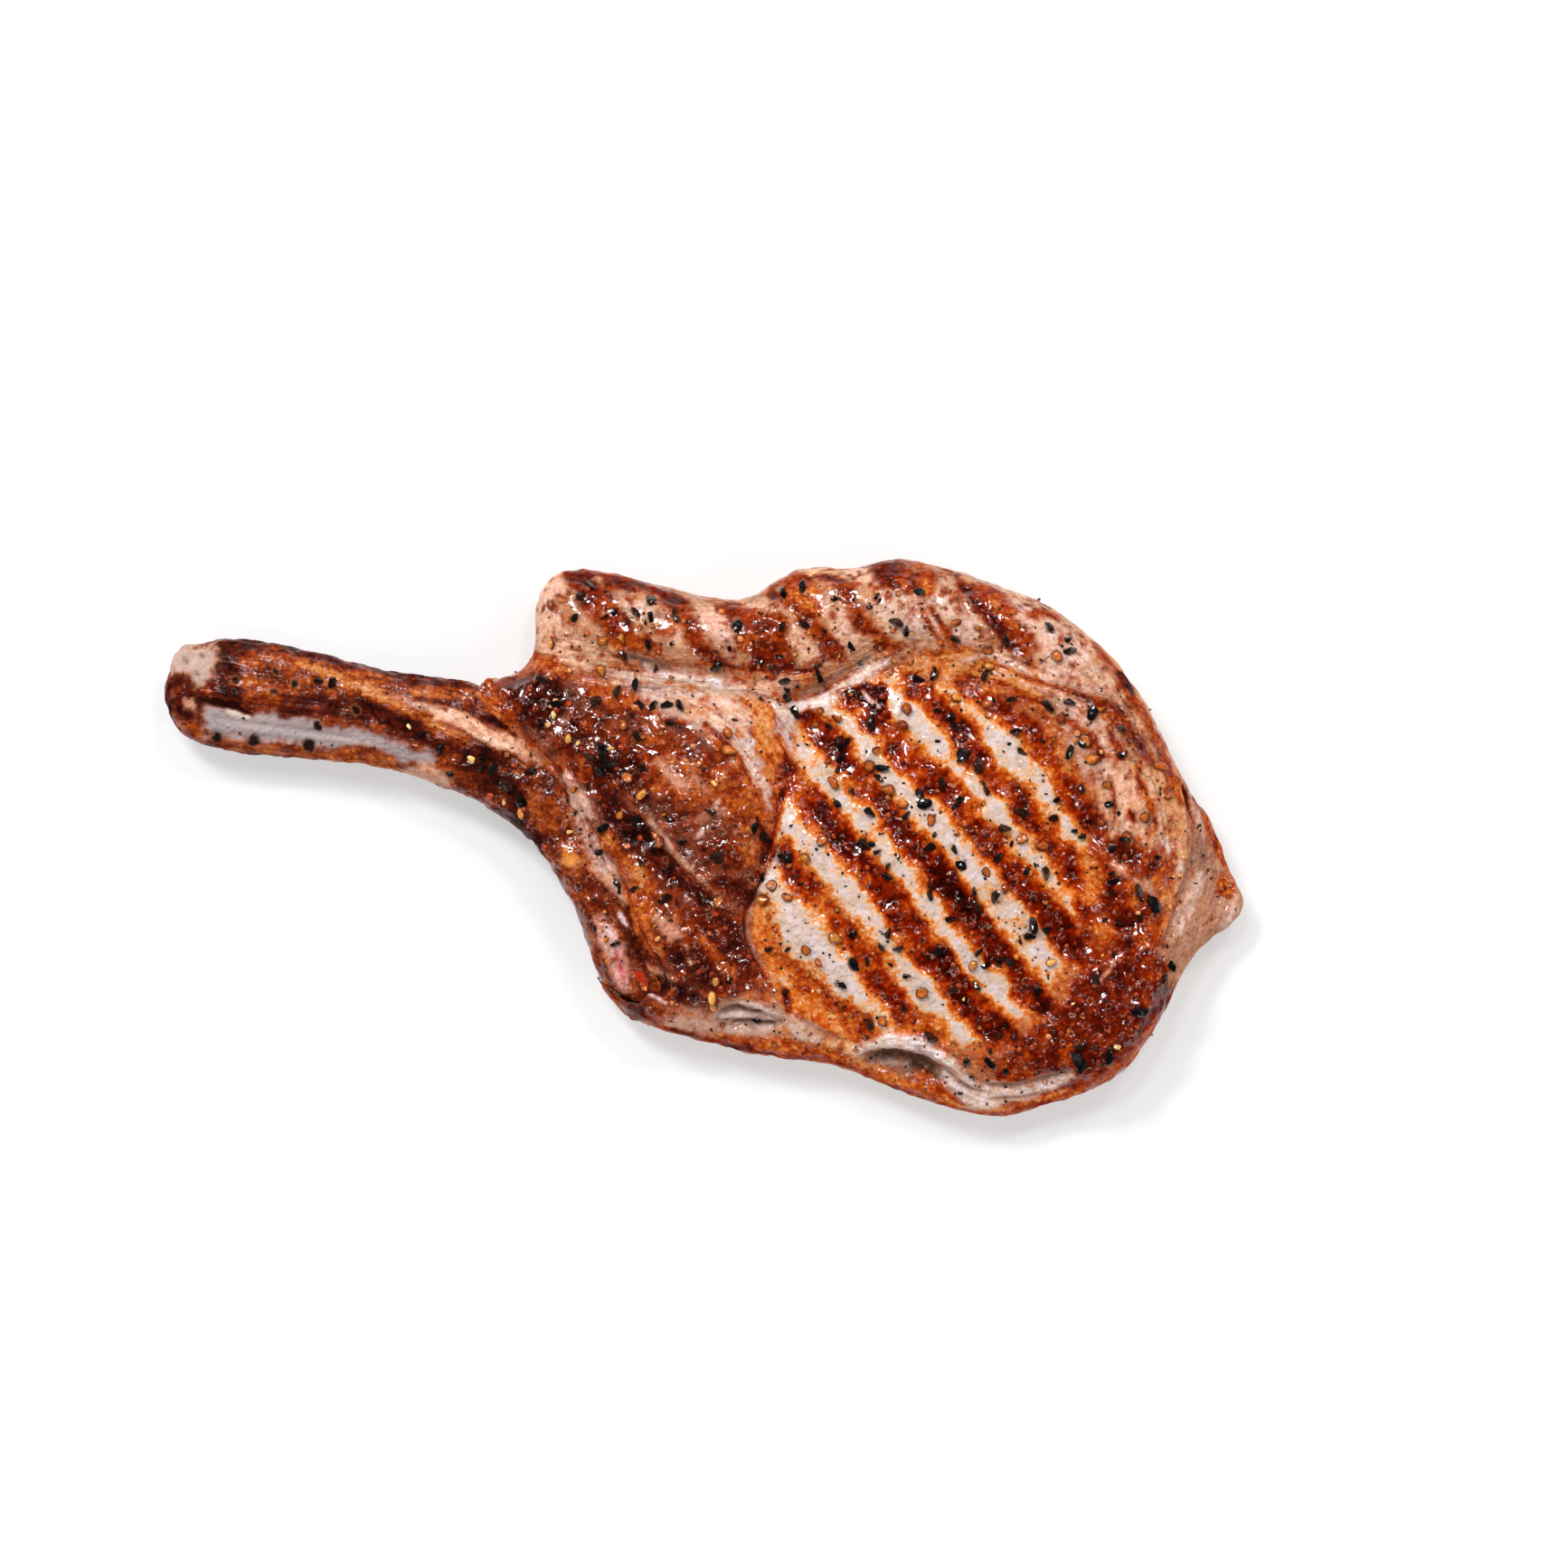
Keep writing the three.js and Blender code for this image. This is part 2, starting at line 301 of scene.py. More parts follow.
BONE_VOXEL = 0.45
BONE_ROUNDING = 6
EXPOSED_BONE = [
    (-105.5, 28.3), (-101, 27.4), (-97, 26.2), (-91, 25.8), (-85, 25.2), (-80, 24), (-75, 23.4), (-70, 22),
    (-65, 20.4), (-60, 18.4), (-55.5, 16), (-60, 14.8), (-66, 16.8), (-70, 18.5), (-77, 18), (-85, 19.6),
    (-95, 20.6), (-104.6, 21.4),
]
HANDLE = [
    # the far end, then the browned zone next to it
    (0.62, 0, [(-116, 44), (-104, 43), (-103, 14), (-116, 14)], 0.5, 0),
    (0.42, 5, [(-110, 23.4), (-105.6, 21.4)], 0.5, 0),
    ("C79A80", 2.4, [(-108.6, 28.6), (-107.4, 27.4)], 0.5, 0.2),
    (0.68, 0, [(-104, 43), (-92.5, 42), (-92, 37), (-95, 34), (-96, 30), (-98, 28.4), (-103.5, 30),
               (-103, 34)], 0.6, 0),
    (0.85, 3.4, [(-101, 31.6), (-99, 30.4), (-96.6, 30)], 0.6, 0),
    (0.2, 1.6, [(-105, 30.8), (-103, 30.2)], 0.5, 0),
    # golden membrane along the top of the handle, with its darker streaks
    (0.37, 0, [(-96, 37.6), (-90, 39.2), (-84, 38.2), (-78, 36.2), (-70, 33.6), (-62, 30), (-54, 26.4),
               (-47, 21), (-52, 18), (-58, 23), (-66, 26.6), (-76, 29.4), (-86, 29.4), (-96, 29.2)], 0.55, 0),
    (0.5, 5, [(-92, 36.4), (-89, 33), (-87.6, 29)], 0.5, 0),
    (0.46, 4, [(-84, 31.6), (-78, 31), (-71, 29.6)], 0.5, 0),
    (0.66, 4.6, [(-98, 28.2), (-92, 28), (-87, 27.2), (-80, 27.6), (-72, 27), (-66, 24.6), (-60, 22),
                 (-53, 18.6), (-48, 15)], 0.5, -0.2),
    (0.2, 1.8, [(-85, 36.8), (-78, 34), (-72, 31.2), (-66, 28.6), (-60, 25.4), (-53, 21.4)], 0.5, 0.2),
    ("D4B092", 2.2, [(-66, 29.8), (-60, 28), (-54, 25.6), (-49, 23.4), (-45, 21.6)], 0.45, 0.2),
    (0.55, 2.2, [(-68, 31.6), (-62, 30), (-55, 28.4), (-50, 27.4)], 0.5, 0),
    (0.3, 2.2, [(-60, 30.6), (-54, 29.8), (-49, 29)], 0.6, 0),
    # char along the edge that lay on the hottest bar
    (0.68, 3.0, [(-97, 41.4), (-91, 40.8), (-84, 39.6), (-77, 38), (-69, 35.8), (-61, 34), (-52, 32.4)],
     0.75, 0),
    (0.4, 4.6, [(-105, 18.2), (-96, 18.2), (-88, 17.4), (-80, 16.4), (-72, 15.4)], 0.4, 0),
    # bare bone
    ("9E8F8E", 0, EXPOSED_BONE, 0.12, -0.3),
    ("8C7E7C", 0.7, [(-103, 25.4), (-94, 24), (-84, 22.6), (-74, 21)], 0.12, -0.08),
    ("AC9F9D", 0.9, [(-100, 23.6), (-90, 22.4), (-80, 21), (-70, 19.6)], 0.12, 0.05),
    ("B89C90", 0, [(-112.4, 38.6), (-109, 40.8), (-103, 40.6), (-102.4, 36), (-104, 32.6), (-106.5, 31.2),
                   (-108.4, 33.4), (-111.8, 35)], 0.2, 0),
    ("8A6A60", 1.0, [(-109, 37.4), (-108.4, 36.6)], 0.3, -0.3),
    ("8A6A60", 0.9, [(-105.6, 38.4), (-105, 37.8)], 0.3, -0.3),
    ("8A6A60", 0.9, [(-106.6, 34.6), (-106, 34)], 0.3, -0.3),
    (0.36, 4, [(-78, 16.6), (-72, 16.8), (-66, 15)], 0.4, 0),
    ("CEA286", 3.6, [(-64, 12.8), (-58, 13.4), (-52, 11.4)], 0.4, 0),
    # where the membrane has pulled off the bone
    (1.1, 1.5, [(-105.5, 28.6), (-101, 27.9), (-98, 27), (-95, 25.6)], 0.4, -0.9),
    ("CFC4BA", 1.1, [(-100, 26.4), (-97.4, 25.6), (-95.4, 25)], 0.2, 0.1),
]
HANDLE_SPOTS = [
    ((-90, 34.6), 0.8), ((-90.4, 30.4), 0.8), ((-85.8, 32.3), 1.1), ((-86.5, 28.4), 0.7),
    ((-102.2, 20.8), 1.3), ((-94.5, 20.2), 1.2), ((-82.9, 19.2), 1.3), ((-80.8, 23.3), 0.8), ((-78, 32), 0.8),
    ((-98, 33), 0.8), ((-73, 26.8), 0.9),
]
CUT_END, CUT_END_RADIUS, CUT_END_SWELL = (-111.5, 40.5), 5.5, 1.6
FIBRE_SLOPE = 0.12  # how far the bone's fibres run down for each mm to the right
BORDER = [
    # the glazed skin between the handle and the chop's dark muscle, over the buried part of the rib
    (0.48, 0, [(-54, 14), (-48, 20), (-41, 21), (-35, 17), (-29.6, 14), (-26.6, 8), (-25, 1), (-22.4, -4),
               (-17, -9), (-11, -13.4), (-12, -19), (-20, -21), (-30, -19), (-42, -2)], 0.7, 0.2),
    ("DDAC8C", 3.4, [(-56, 25.6), (-50, 24), (-45, 21.4), (-39, 18.4), (-34.6, 16)], 0.5, 0.4),
    ("E6BCA2", 1.4, [(-50, 22.6), (-44, 19.6), (-38, 17.4)], 0.5, 0.2),
    (0.76, 1.5, [(-47, 24.8), (-44, 24.2), (-41, 23)], 0.5, -0.4),
    (0.7, 0, [(-50, 18.6), (-46, 19), (-42, 15.6), (-38.6, 12), (-38, 8), (-40, 6), (-45, 9), (-50, 14)],
     0.7, -0.2),
    (0.66, 4.6, [(-43, 6), (-38, 1.4), (-34.6, -3)], 0.75, 0),
    (0.42, 0, [(-38, 12.6), (-32, 13.4), (-28, 11), (-26.6, 6), (-27.4, 2), (-31, 1), (-35.4, 3), (-37.6, 8)],
     0.8, 0.5),
    (0.5, 3, [(-33, 10), (-30.4, 7), (-30, 3.6)], 0.8, -0.1),
    (0.42, 0, [(-32, -1.6), (-27, -1), (-23, -4), (-18, -9), (-13, -13), (-15, -17), (-22, -17), (-27.6, -13),
               (-31.6, -6)], 0.8, 0.4),
    (0.46, 4.6, [(-25, -10), (-20, -14), (-16, -15.6)], 0.8, 0),
    ("D88F42", 3, [(-29, -3.4), (-27.2, -6)], 0.7, 0.2),
    ("CFA894", 4.2, [(-28.6, 12.6), (-26, 7.4), (-25, 2), (-22.6, -3.6), (-19.4, -8.4), (-17, -12.6)],
     0.55, 0.5),
    ("B98A74", 0.8, [(-26.4, 6), (-25.2, 1), (-22.6, -4.6)], 0.5, -0.2),
    (0.7, 0.9, [(-21.4, 1.4), (-19, -2.6), (-16.4, -6)], 0.6, -0.4),
    # the pink edge where the bone's end shows through
    ("D39988", 5.6, [(-21.6, -17), (-20, -21), (-18.4, -26), (-17, -31)], 0.85, 0.1),
    ("DAB7B3", 2.2, [(-20.6, -18), (-19.4, -22), (-18.4, -26)], 0.95, 0.2),
    ("BE3E55", 1.1, [(-18.6, -24), (-17.6, -27), (-16.8, -30)], 0.9, 0),
    # a small pale pink painted highlight
    ("E9D4CD", 1.5, [(-18, -16), (-16.4, -18.6)], 1.0, 0.2),
    (0.46, 2.8, [(-26, -13), (-25, -19), (-23, -25), (-20, -31), (-16.6, -35)], 0.7, 0),
    (0.62, 4, [(-14, -22), (-13.4, -27), (-12, -33)], 0.9, -0.3),
    ("C42916", 2.2, [(-14.4, -28), (-12.4, -31)], 0.95, -0.2),
]

# Two tears along the bottom edge, where wrinkled flesh shows.
TEARS = [
    [(2, -34), (10, -32.6), (18, -36), (25, -42), (18, -43.4), (8, -42), (2, -40)],
    [(31, -43), (38, -41), (48, -42), (57, -48), (66, -49.6), (76, -47.6), (79, -52), (68, -56), (56, -58),
     (46, -53), (35, -49)],
]
# Where the flesh, fat and membrane are stringy: an outline, a line that the fibres follow, and how stringy.
COMBED = [
    # the neck of the handle, and the fold of fat down the side of the dark muscle
    ([(-72, 34), (-60, 33), (-50, 31), (-40, 28), (-33, 18), (-28, 12), (-34, 12), (-44, 15), (-54, 19),
      (-68, 24)], [(-72, 37), (-58, 35.5), (-46, 32), (-36, 25), (-27, 15)], 1.0),
    ([(-31, 14), (-26, 14), (-23, 4), (-19, -4), (-13, -12), (-16, -16), (-24, -8), (-30, 3)],
     [(-24, 17), (-21, 5), (-17, -3), (-11, -12)], 1.0),
    ([(-24, -14), (-16, -13), (-12, -22), (-11, -32), (-17, -36), (-23, -28)],
     [(-14, -11), (-10, -20), (-7, -31)], 0.9),
    # the muscle itself, the wedge of fat beside it and the seam under the cap
    ([(-22, 12), (-16, 12), (-6, 4), (2, -6), (6, -14), (-2, -16), (-12, -6), (-20, 4)],
     [(-14, 15), (-3, 5), (5, -6), (9, -17)], 0.6),
    ([(-18, 31), (-8, 32), (8, 31), (18, 27), (19, 16), (17, 4), (13, 3), (9, 14), (1, 21), (-10, 27)],
     [(-30, 31), (-18, 28), (-8, 25.5), (0, 21), (6, 15), (10, 8), (12, 1)], 1.0),
    ([(-40, 43), (-30, 42), (-18, 39.5), (-6, 38), (10, 36.5), (10, 30.5), (-6, 31), (-20, 32), (-36, 35.5)],
     [(-44, 46), (-28, 44), (-14, 41), (0, 39.5), (14, 39)], 1.0),
    ([(10, 36.5), (18, 35), (26, 38.6), (36, 42), (40, 38), (30, 30), (20, 25), (16, 28), (10, 30)],
     [(6, 40), (18, 39), (28, 43), (38, 48)], 1.0),
    # the strip that runs to the right under the cap, the golden rim, the fold and the flap
    ([(40, 36), (52, 40), (62, 40), (74, 36), (84, 30), (92, 22), (94, 13), (88, 12), (82, 20), (72, 26),
      (60, 30), (48, 32)], [(36, 43), (48, 45), (60, 44), (72, 40), (84, 33), (92, 25), (98, 12)], 0.9),
    ([(72, 48), (84, 38), (92, 26), (98, 14), (102, 4), (100, -8), (96, -12), (94, 8), (89, 20), (81, 33),
      (72, 42)], [(80, 50), (92, 38), (100, 24), (107, 8), (108, -8)], 0.8),
    ([(80, 14), (84, 19), (90, 17), (95, 8), (96, -3), (91, -3), (86, -1), (81, 6)],
     [(100, 16), (101, 5), (100, -6), (97, -16)], 1.0),
    ([(100, 13), (104, 9), (108, 2), (112, -6), (117, -13), (112, -22), (104, -27), (99, -33), (95, -26),
      (97, -16), (101, -8)], [(99.6, 14), (100.6, 4), (100, -8), (97, -16), (94.6, -24), (96, -34)], 1.0),
    # the tears along the bottom edge
    (TEARS[0], [(0, -31), (10, -30), (20, -34), (29, -42)], 1.0),
    (TEARS[1], [(26, -43), (37, -39), (50, -40), (59, -45.6), (68, -47), (79, -45)], 1.0),
]

rib = fine_copy("rib_bone_handle", "rib_bone", BONE_VOXEL, BONE_ROUNDING)
bone = Skin(rib, seed=11)
bone.dye(bone.whole, "8B401E", sear=0.45, wet=0.45)
bone.lay(HANDLE)
for at, radius in HANDLE_SPOTS:
    charred = bone.spot(at, radius, soft=0.35, ragged=0.6)
    bone.dye(charred, "1C120E", wet=0.35)
    bone.clean += (1 - bone.clean) * charred
bone.lay(BORDER)
# Underneath, the bone is plain browned membrane.
bone.dye(bone.under, "793B1E", 0.9, sear=0.5, wet=0.3)
# The cut end is squarer than the rest is round.
bone.lift += CUT_END_SWELL * near(CUT_END_RADIUS - np.hypot(*(bone.place[:, :2] - CUT_END).T), 0, 5)
bare = bone.patch(EXPOSED_BONE, 0.8, 0.6) * bone.top
bone.lift += (1 - bare) * (0.28 * lumps(bone.place, 5, 21) + 0.16 * lumps(bone.place, 1.8, 22))
# The membrane's fibres run along the bone, from left to right and a little down, about seven times as long as
# wide.
lengthwise = bone.place @ np.array([[1, FIBRE_SLOPE, 0], [-FIBRE_SLOPE, 1, 0], [0, 0, 1]])
fibres = lumps(lengthwise * (0.14, 1, 1), 1.5, 23)
bone.sear *= 1.17 + 0.2 * lumps(bone.place, 3, 24) + 0.22 * fibres
# Charred membrane is drier than the rest.
bone.wet *= 1 - 0.5 * near(bone.sear, 0.6, 0.85)
bone.tint *= (1 + 0.1 * fibres)[:, None]
bone.lift += 0.1 * fibres
bone.fibre[:, :2] = bone.place[:, :2] @ np.array([[FIBRE_SLOPE, 1], [1, -FIBRE_SLOPE]])
bone.fibre[:, 2] = 0.7 * near(bone.place[:, 0], -40, -60)
for row in COMBED:
    bone.comb(*row)
bone.finish()


def add(tree, kind, inputs=(), output=0, **settings):
    """Adds a shader node with its settings, sets or links its inputs by place or by name, and returns one
    output."""
    made = tree.nodes.new("ShaderNode" + kind)
    for key, value in settings.items():
        setattr(made, key, value)
    for key, value in inputs.items() if isinstance(inputs, dict) else enumerate(inputs):
        if isinstance(value, bpy.types.NodeSocket):
            tree.links.new(value, made.inputs[key])
        else:
            made.inputs[key].default_value = value
    return made.outputs[output] if made.outputs else None


def blank_material(name):
    """A new material with no nodes yet, and its node tree."""
    material = bpy.data.materials.new(name)
    material.use_nodes = True
    material.node_tree.nodes.clear()
    return material, material.node_tree


# Lean meat sears from gold through orange and red to maroon, and fat and membrane sear tan and brown.
SEAR_LEVELS = (0.0, 0.12, 0.24, 0.38, 0.52, 0.68, 0.84, 1.0)
LEAN_SEAR = ("E2BE98", "D4A06A", "C26C2C", "A8460F", "892303", "5C0E01", "380600", "140302")
FATTY_SEAR = ("D6AA8C", "C48E5E", "AE672E", "954418", "762C0E", "50180A", "3C110A", "200908")
STAIN = (0.74, 0.5, 0.38)  # what juice leaves of a tint
GOLDEN, COOL, EVEN = (0.8, 0.71, 0.58, 1), (0.97, 1.04, 1.26, 1), (0.85, 0.85, 0.85, 1)  # shares of a tint
# The pale pink of the painted highlight along the rims of set juice.
JUICE_RIM_HIGHLIGHT = "F0B49C"


def seared_flesh(name, dry, oily):
    """Flesh, fat and membrane browned on a hot grill: the painted tint, then gold, rust, maroon and black as
    the sear deepens. Beads of set juice and fat stand on it. Where it is wet they are glazed and glint, and
    clean meat is matt. Dry and oily are its roughness with no fat on it and with the most."""
    material, tree = blank_material(name)
    place = add(tree, "TexCoord", output="Object")
    tint = add(tree, "Attribute", output="Color", attribute_name="tint")
    fibre = add(tree, "Attribute", output="Vector", attribute_name="fibre")
    looks = ("sear", "wet", "clean", "fatty")
    sear, wet, clean, fatty = [add(tree, "Attribute", output="Fac", attribute_name=look) for look in looks]
    # Blotches 2.4 mm wide, crumbs of crust 0.8 mm wide and beads 1.3 mm wide with hollows between them. A map
    # range's inputs are a value, the range it runs over, and the range it becomes, 0 to 1 if not given.
    grainy = {"Vector": place, "Detail": 2.0, "Roughness": 0.6}
    blotch = add(tree, "TexNoise", {**grainy, "Scale": 1 / (2.4 * MM), "Detail": 3.0})
    crumb = add(tree, "TexNoise", {**grainy, "Scale": 1 / (0.8 * MM)})
    drift = blotch.node.outputs["Color"]
    warped = add(tree, "VectorMath", [drift, (1.6 * MM,) * 3, place], operation="MULTIPLY_ADD")
    bead = add(tree, "TexVoronoi", {"Vector": warped, "Scale": 1 / (1.3 * MM)}, "Distance")
    bead = add(tree, "MapRange", [bead, 0.1, 0.62, 1.0, 0.0], interpolation_type="SMOOTHSTEP")
    # The sear varies with all of these, and most with the crumbs where the crust is dry.
    juicy = add(tree, "MapRange", [wet, 0.35, 0.8])
    gritty = add(tree, "MapRange", [crumb, 0.32, 0.68, -0.13, 0.13])
    dryness = add(tree, "MapRange", [juicy, 0.0, 1.0, 0.9, 0.65])
    gritty = add(tree, "Math", [gritty, dryness], operation="MULTIPLY")
    vary = add(tree, "MapRange", [blotch, 0.3, 0.7, -0.12, 0.12])
    vary = add(tree, "Math", [vary, gritty], operation="ADD")
    # The sear is deeper in the hollows between the beads, as painted shade.
    vary = add(tree, "Math", [vary, add(tree, "MapRange", [bead, 0.0, 1.0, 0.06, -0.06])], operation="ADD")
    # Strings of fibre 0.9 mm wide and some 6 mm long, faint on bare bone, which is the driest.
    stretched = add(tree, "VectorMath", [fibre, (1 / 0.9, 1 / 6, 0)], operation="MULTIPLY")
    stretched = add(tree, "VectorMath", [drift, (0.7, 0.7, 0), stretched], operation="MULTIPLY_ADD")
    strings = add(tree, "TexNoise", {"Vector": stretched, "Scale": 1.0, "Detail": 2.0})
    strings = add(tree, "MapRange", [strings, 0.32, 0.68, -1.0, 1.0])
    strings = add(tree, "Math", [strings, add(tree, "SeparateXYZ", [fibre], "Z")], operation="MULTIPLY")
    moist = add(tree, "MapRange", [wet, 0.12, 0.3, 0.3, 1.0])
    strings = add(tree, "Math", [strings, moist], operation="MULTIPLY")
    vary = add(tree, "Math", [strings, -0.13, vary], operation="MULTIPLY_ADD")
    # Clean meat varies least.
    by_sear = add(tree, "MapRange", [sear, 0.0, 0.3, 0.25, 1.0])
    level = add(tree, "Math", [vary, by_sear, sear], operation="MULTIPLY_ADD")
    crusts = []
    for shades in (LEAN_SEAR, FATTY_SEAR):
        crusts.append(add(tree, "ValToRGB", [level]))
        stops = crusts[-1].node.color_ramp.elements
        while len(stops) < len(shades):
            stops.new(0.5)
        for stop, position, shade in zip(stops, SEAR_LEVELS, shades):
            stop.position = position
            stop.color = (*linear(shade), 1)
    crust = add(tree, "Mix", {0: fatty, 6: crusts[0], 7: crusts[1]}, 2, data_type="RGBA")
    # Clean flesh and fat are a little uneven too: paler grains, with pinkish-brown hollows between them. Bare
    # bone has next to none.
    soft = add(tree, "MapRange", [wet, 0.12, 0.3, 0.12, 1.0])
    stained = add(tree, "VectorMath", [tint, STAIN], operation="MULTIPLY")
    hollow = add(tree, "TexNoise", {**grainy, "Scale": 1 / (1.3 * MM), "Roughness": 0.65})
    hollow = add(tree, "MapRange", [hollow, 0.43, 0.68])
    deep = add(tree, "MapRange", [clean, 0.0, 0.6, 0.28, 0.85])
    hollow = add(tree, "Math", [hollow, deep], operation="MULTIPLY")
    hollow = add(tree, "Math", [hollow, soft], operation="MULTIPLY")
    flesh = add(tree, "Mix", {0: hollow, 6: tint, 7: stained}, 2, data_type="RGBA")
    # Thin darker lines part the bundles of fibres, 2.2 mm apart.
    bundles = {"Vector": warped, "Scale": 1 / (2.2 * MM)}
    parted = add(tree, "TexVoronoi", bundles, "Distance", feature="DISTANCE_TO_EDGE")
    parted = add(tree, "MapRange", [parted, 0.0, 0.09, 0.3, 0.0], interpolation_type="SMOOTHSTEP")
    parted = add(tree, "Math", [parted, soft], operation="MULTIPLY")
    flesh = add(tree, "Mix", {0: parted, 6: flesh, 7: stained}, 2, data_type="RGBA")
    # Its palest patches are the coolest, and the darker ones are golden. Dry bone is even.
    palest = add(tree, "MapRange", [blotch, 0.3, 0.7])
    shade = add(tree, "Mix", {0: palest, 6: GOLDEN, 7: COOL}, 2, data_type="RGBA")
    shade = add(tree, "Mix", {0: soft, 6: EVEN, 7: shade}, 2, data_type="RGBA")
    paler = add(tree, "Math", [strings, 0.13], operation="MULTIPLY")
    shade = add(tree, "VectorMath", [shade, paler], operation="ADD")
    flesh = add(tree, "VectorMath", [flesh, shade], operation="MULTIPLY")
    # Fat browns to a paler crust than lean meat does.
    pale = add(tree, "Math", [clean, 0.35], operation="MULTIPLY")
    crust = add(tree, "Mix", {0: pale, 6: crust, 7: stained}, 2, data_type="RGBA")
    browned = add(tree, "MapRange", [level, 0.05, 0.22], interpolation_type="SMOOTHSTEP")
    colour = add(tree, "Mix", {0: browned, 6: flesh, 7: crust}, 2, data_type="RGBA")
    # Where pale fat or bone lies bare, its own colour shows through the sear.
    bare = add(tree, "Math", [vary, -1.6, 1.0], operation="MULTIPLY_ADD")
    bare = add(tree, "Math", [bare, clean], operation="MULTIPLY")
    bare = add(tree, "MapRange", [bare, 0.08, 0.92], interpolation_type="SMOOTHSTEP")
    colour = add(tree, "Mix", {0: bare, 6: colour, 7: flesh}, 2, data_type="RGBA")
    # Rims of set juice, arcs of rings about 1.5 mm across, broken up by noise. They stand up as relief, and
    # on juicy meat a faint pale pink painted highlight lies along them.
    ring = add(tree, "TexVoronoi", {"Vector": warped, "Scale": 1 / (2.1 * MM)}, "Distance")
    ring = add(tree, "Math", [add(tree, "Math", [ring, 0.34], operation="SUBTRACT")], operation="ABSOLUTE")
    ring = add(tree, "MapRange", [ring, 0.0, 0.09, 1.0, 0.0], interpolation_type="SMOOTHSTEP")
    arcs = add(tree, "TexNoise", {"Vector": place, "Scale": 1 / (1.5 * MM), "Detail": 0.0})
    arcs = add(tree, "MapRange", [arcs, 0.48, 0.56], interpolation_type="SMOOTHSTEP")
    rim = add(tree, "Math", [ring, arcs], operation="MULTIPLY")
    rim = add(tree, "Math", [rim, juicy], operation="MULTIPLY")
    # Painted highlight: the rims turn faintly pale pink.
    painted_rim_highlight = add(tree, "Math", [rim, 0.19], operation="MULTIPLY")
    colour = add(tree, "Mix", {0: painted_rim_highlight, 6: colour, 7: (*linear(JUICE_RIM_HIGHLIGHT), 1)}, 2, data_type="RGBA")
    # The film of fat lies in patches 3 mm wide and fills the finest relief, so it is smooth but for the
    # strings, the rims and drops up to 2.3 mm wide.
    drop = add(tree, "TexVoronoi", {"Vector": warped, "Scale": 1 / (2.3 * MM)}, "Distance")
    chosen = add(tree, "SeparateColor", [drop.node.outputs["Color"]], "Red")
    drop = add(tree, "MapRange", [drop, 0.05, 0.45, 1.0, 0.0], interpolation_type="SMOOTHSTEP")
    drop = add(tree, "Math", [drop, add(tree, "MapRange", [chosen, 0.15, 0.5])], operation="MULTIPLY")
    swell = add(tree, "Math", [rim, 0.8], operation="MULTIPLY")
    swell = add(tree, "Math", [drop, 1.5, swell], operation="MULTIPLY_ADD")
    swell = add(tree, "Math", [swell, juicy], operation="MULTIPLY")
    swell = add(tree, "Math", [strings, 0.55, swell], operation="MULTIPLY_ADD")
    glazed = add(tree, "Bump", {"Height": swell, "Strength": 1.0, "Distance": 0.2 * MM})
    film = add(tree, "TexNoise", {"Vector": place, "Scale": 1 / (3.0 * MM), "Detail": 2.0})
    film = add(tree, "MapRange", [film, 0.4, 0.55, 0.1, 1.0], interpolation_type="SMOOTHSTEP")
    film = add(tree, "Math", [film, add(tree, "MapRange", [wet, 0.25, 0.8])], operation="MULTIPLY")
    # Under it, the crust's beads and crumbs stand out as well, as relief too fine for the mesh.
    height = add(tree, "Math", [swell, bead], operation="ADD")
    rough = add(tree, "MapRange", [browned, 0.0, 1.0, 0.3, 1.2])
    height = add(tree, "Math", [crumb, rough, height], operation="MULTIPLY_ADD")
    bump = add(tree, "Bump", {"Height": height, "Strength": 1.0, "Distance": 0.22 * MM})
    shader = add(tree, "BsdfPrincipled", {
        "Base Color": colour, "Roughness": add(tree, "MapRange", [wet, 0.0, 1.0, dry, oily]), "Normal": bump,
        "Subsurface Weight": 0.1, "Subsurface Radius": (1.0, 0.45, 0.25), "Subsurface Scale": 0.8 * MM,
        "Specular IOR Level": 0.0, "Coat Weight": film, "Coat Roughness": 0.12, "Coat IOR": 1.7,
        "Coat Normal": glazed,
    })
    add(tree, "OutputMaterial", {"Surface": shader})
    return material


rib.data.materials.append(seared_flesh("Browned membrane on rib bone", dry=0.6, oily=0.28))
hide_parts("rib_bone")
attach(rib, "root")

# ---------------------------------------------------------------------------------------------- the loin meat
# The chop's meat, cut across the loin: the round pale eye, the dark rib-side muscle, the fat cap along the
# top and the thin flap at the right. It lay on hot bars, which pressed shallow dark grooves into it with
# orange edges.

MEAT_VOXEL = 0.55
MEAT_ROUNDING = 8
SEAM_TO_RIB = [
    (-47, 31.4), (-39.3, 23.8), (-31.6, 15.8), (-25.4, 6.6), (-20.6, -2.8), (-15.5, -11.3), (-12.1, -19.8),
    (-9.3, -26.4), (-7.4, -30.4), (-7.2, -33), (-9.6, -34.6), (-12.4, -35.6),
]
# The rolls of flesh along that seam: how high each lies, and its radius.
ROLLS = ((12.2, 2.9), (4.0, 2.4))
ROLL_STEP = 2


def roll(points, height, radius):
    """A soft roll of flesh along a line, that closes the seam between the meat and the bone."""
    curve = bpy.data.curves.new("roll", "CURVE")
    curve.dimensions = "3D"
    curve.bevel_depth = radius * MM
    curve.use_fill_caps = True
    run = smooth_run(points, step=ROLL_STEP)
    spline = curve.splines.new("POLY")
    spline.points.add(len(run) - 1)
    for point, (x, y) in zip(spline.points, run):
        point.co = (x * MM, y * MM, height * MM, 1)
    select(new_object("roll", curve))
    bpy.ops.object.convert(target="MESH")
    return bpy.context.view_layer.objects.active


KEPT_FACES = 0.76  # the share of the faces that is left, with most of the others taken from the underside


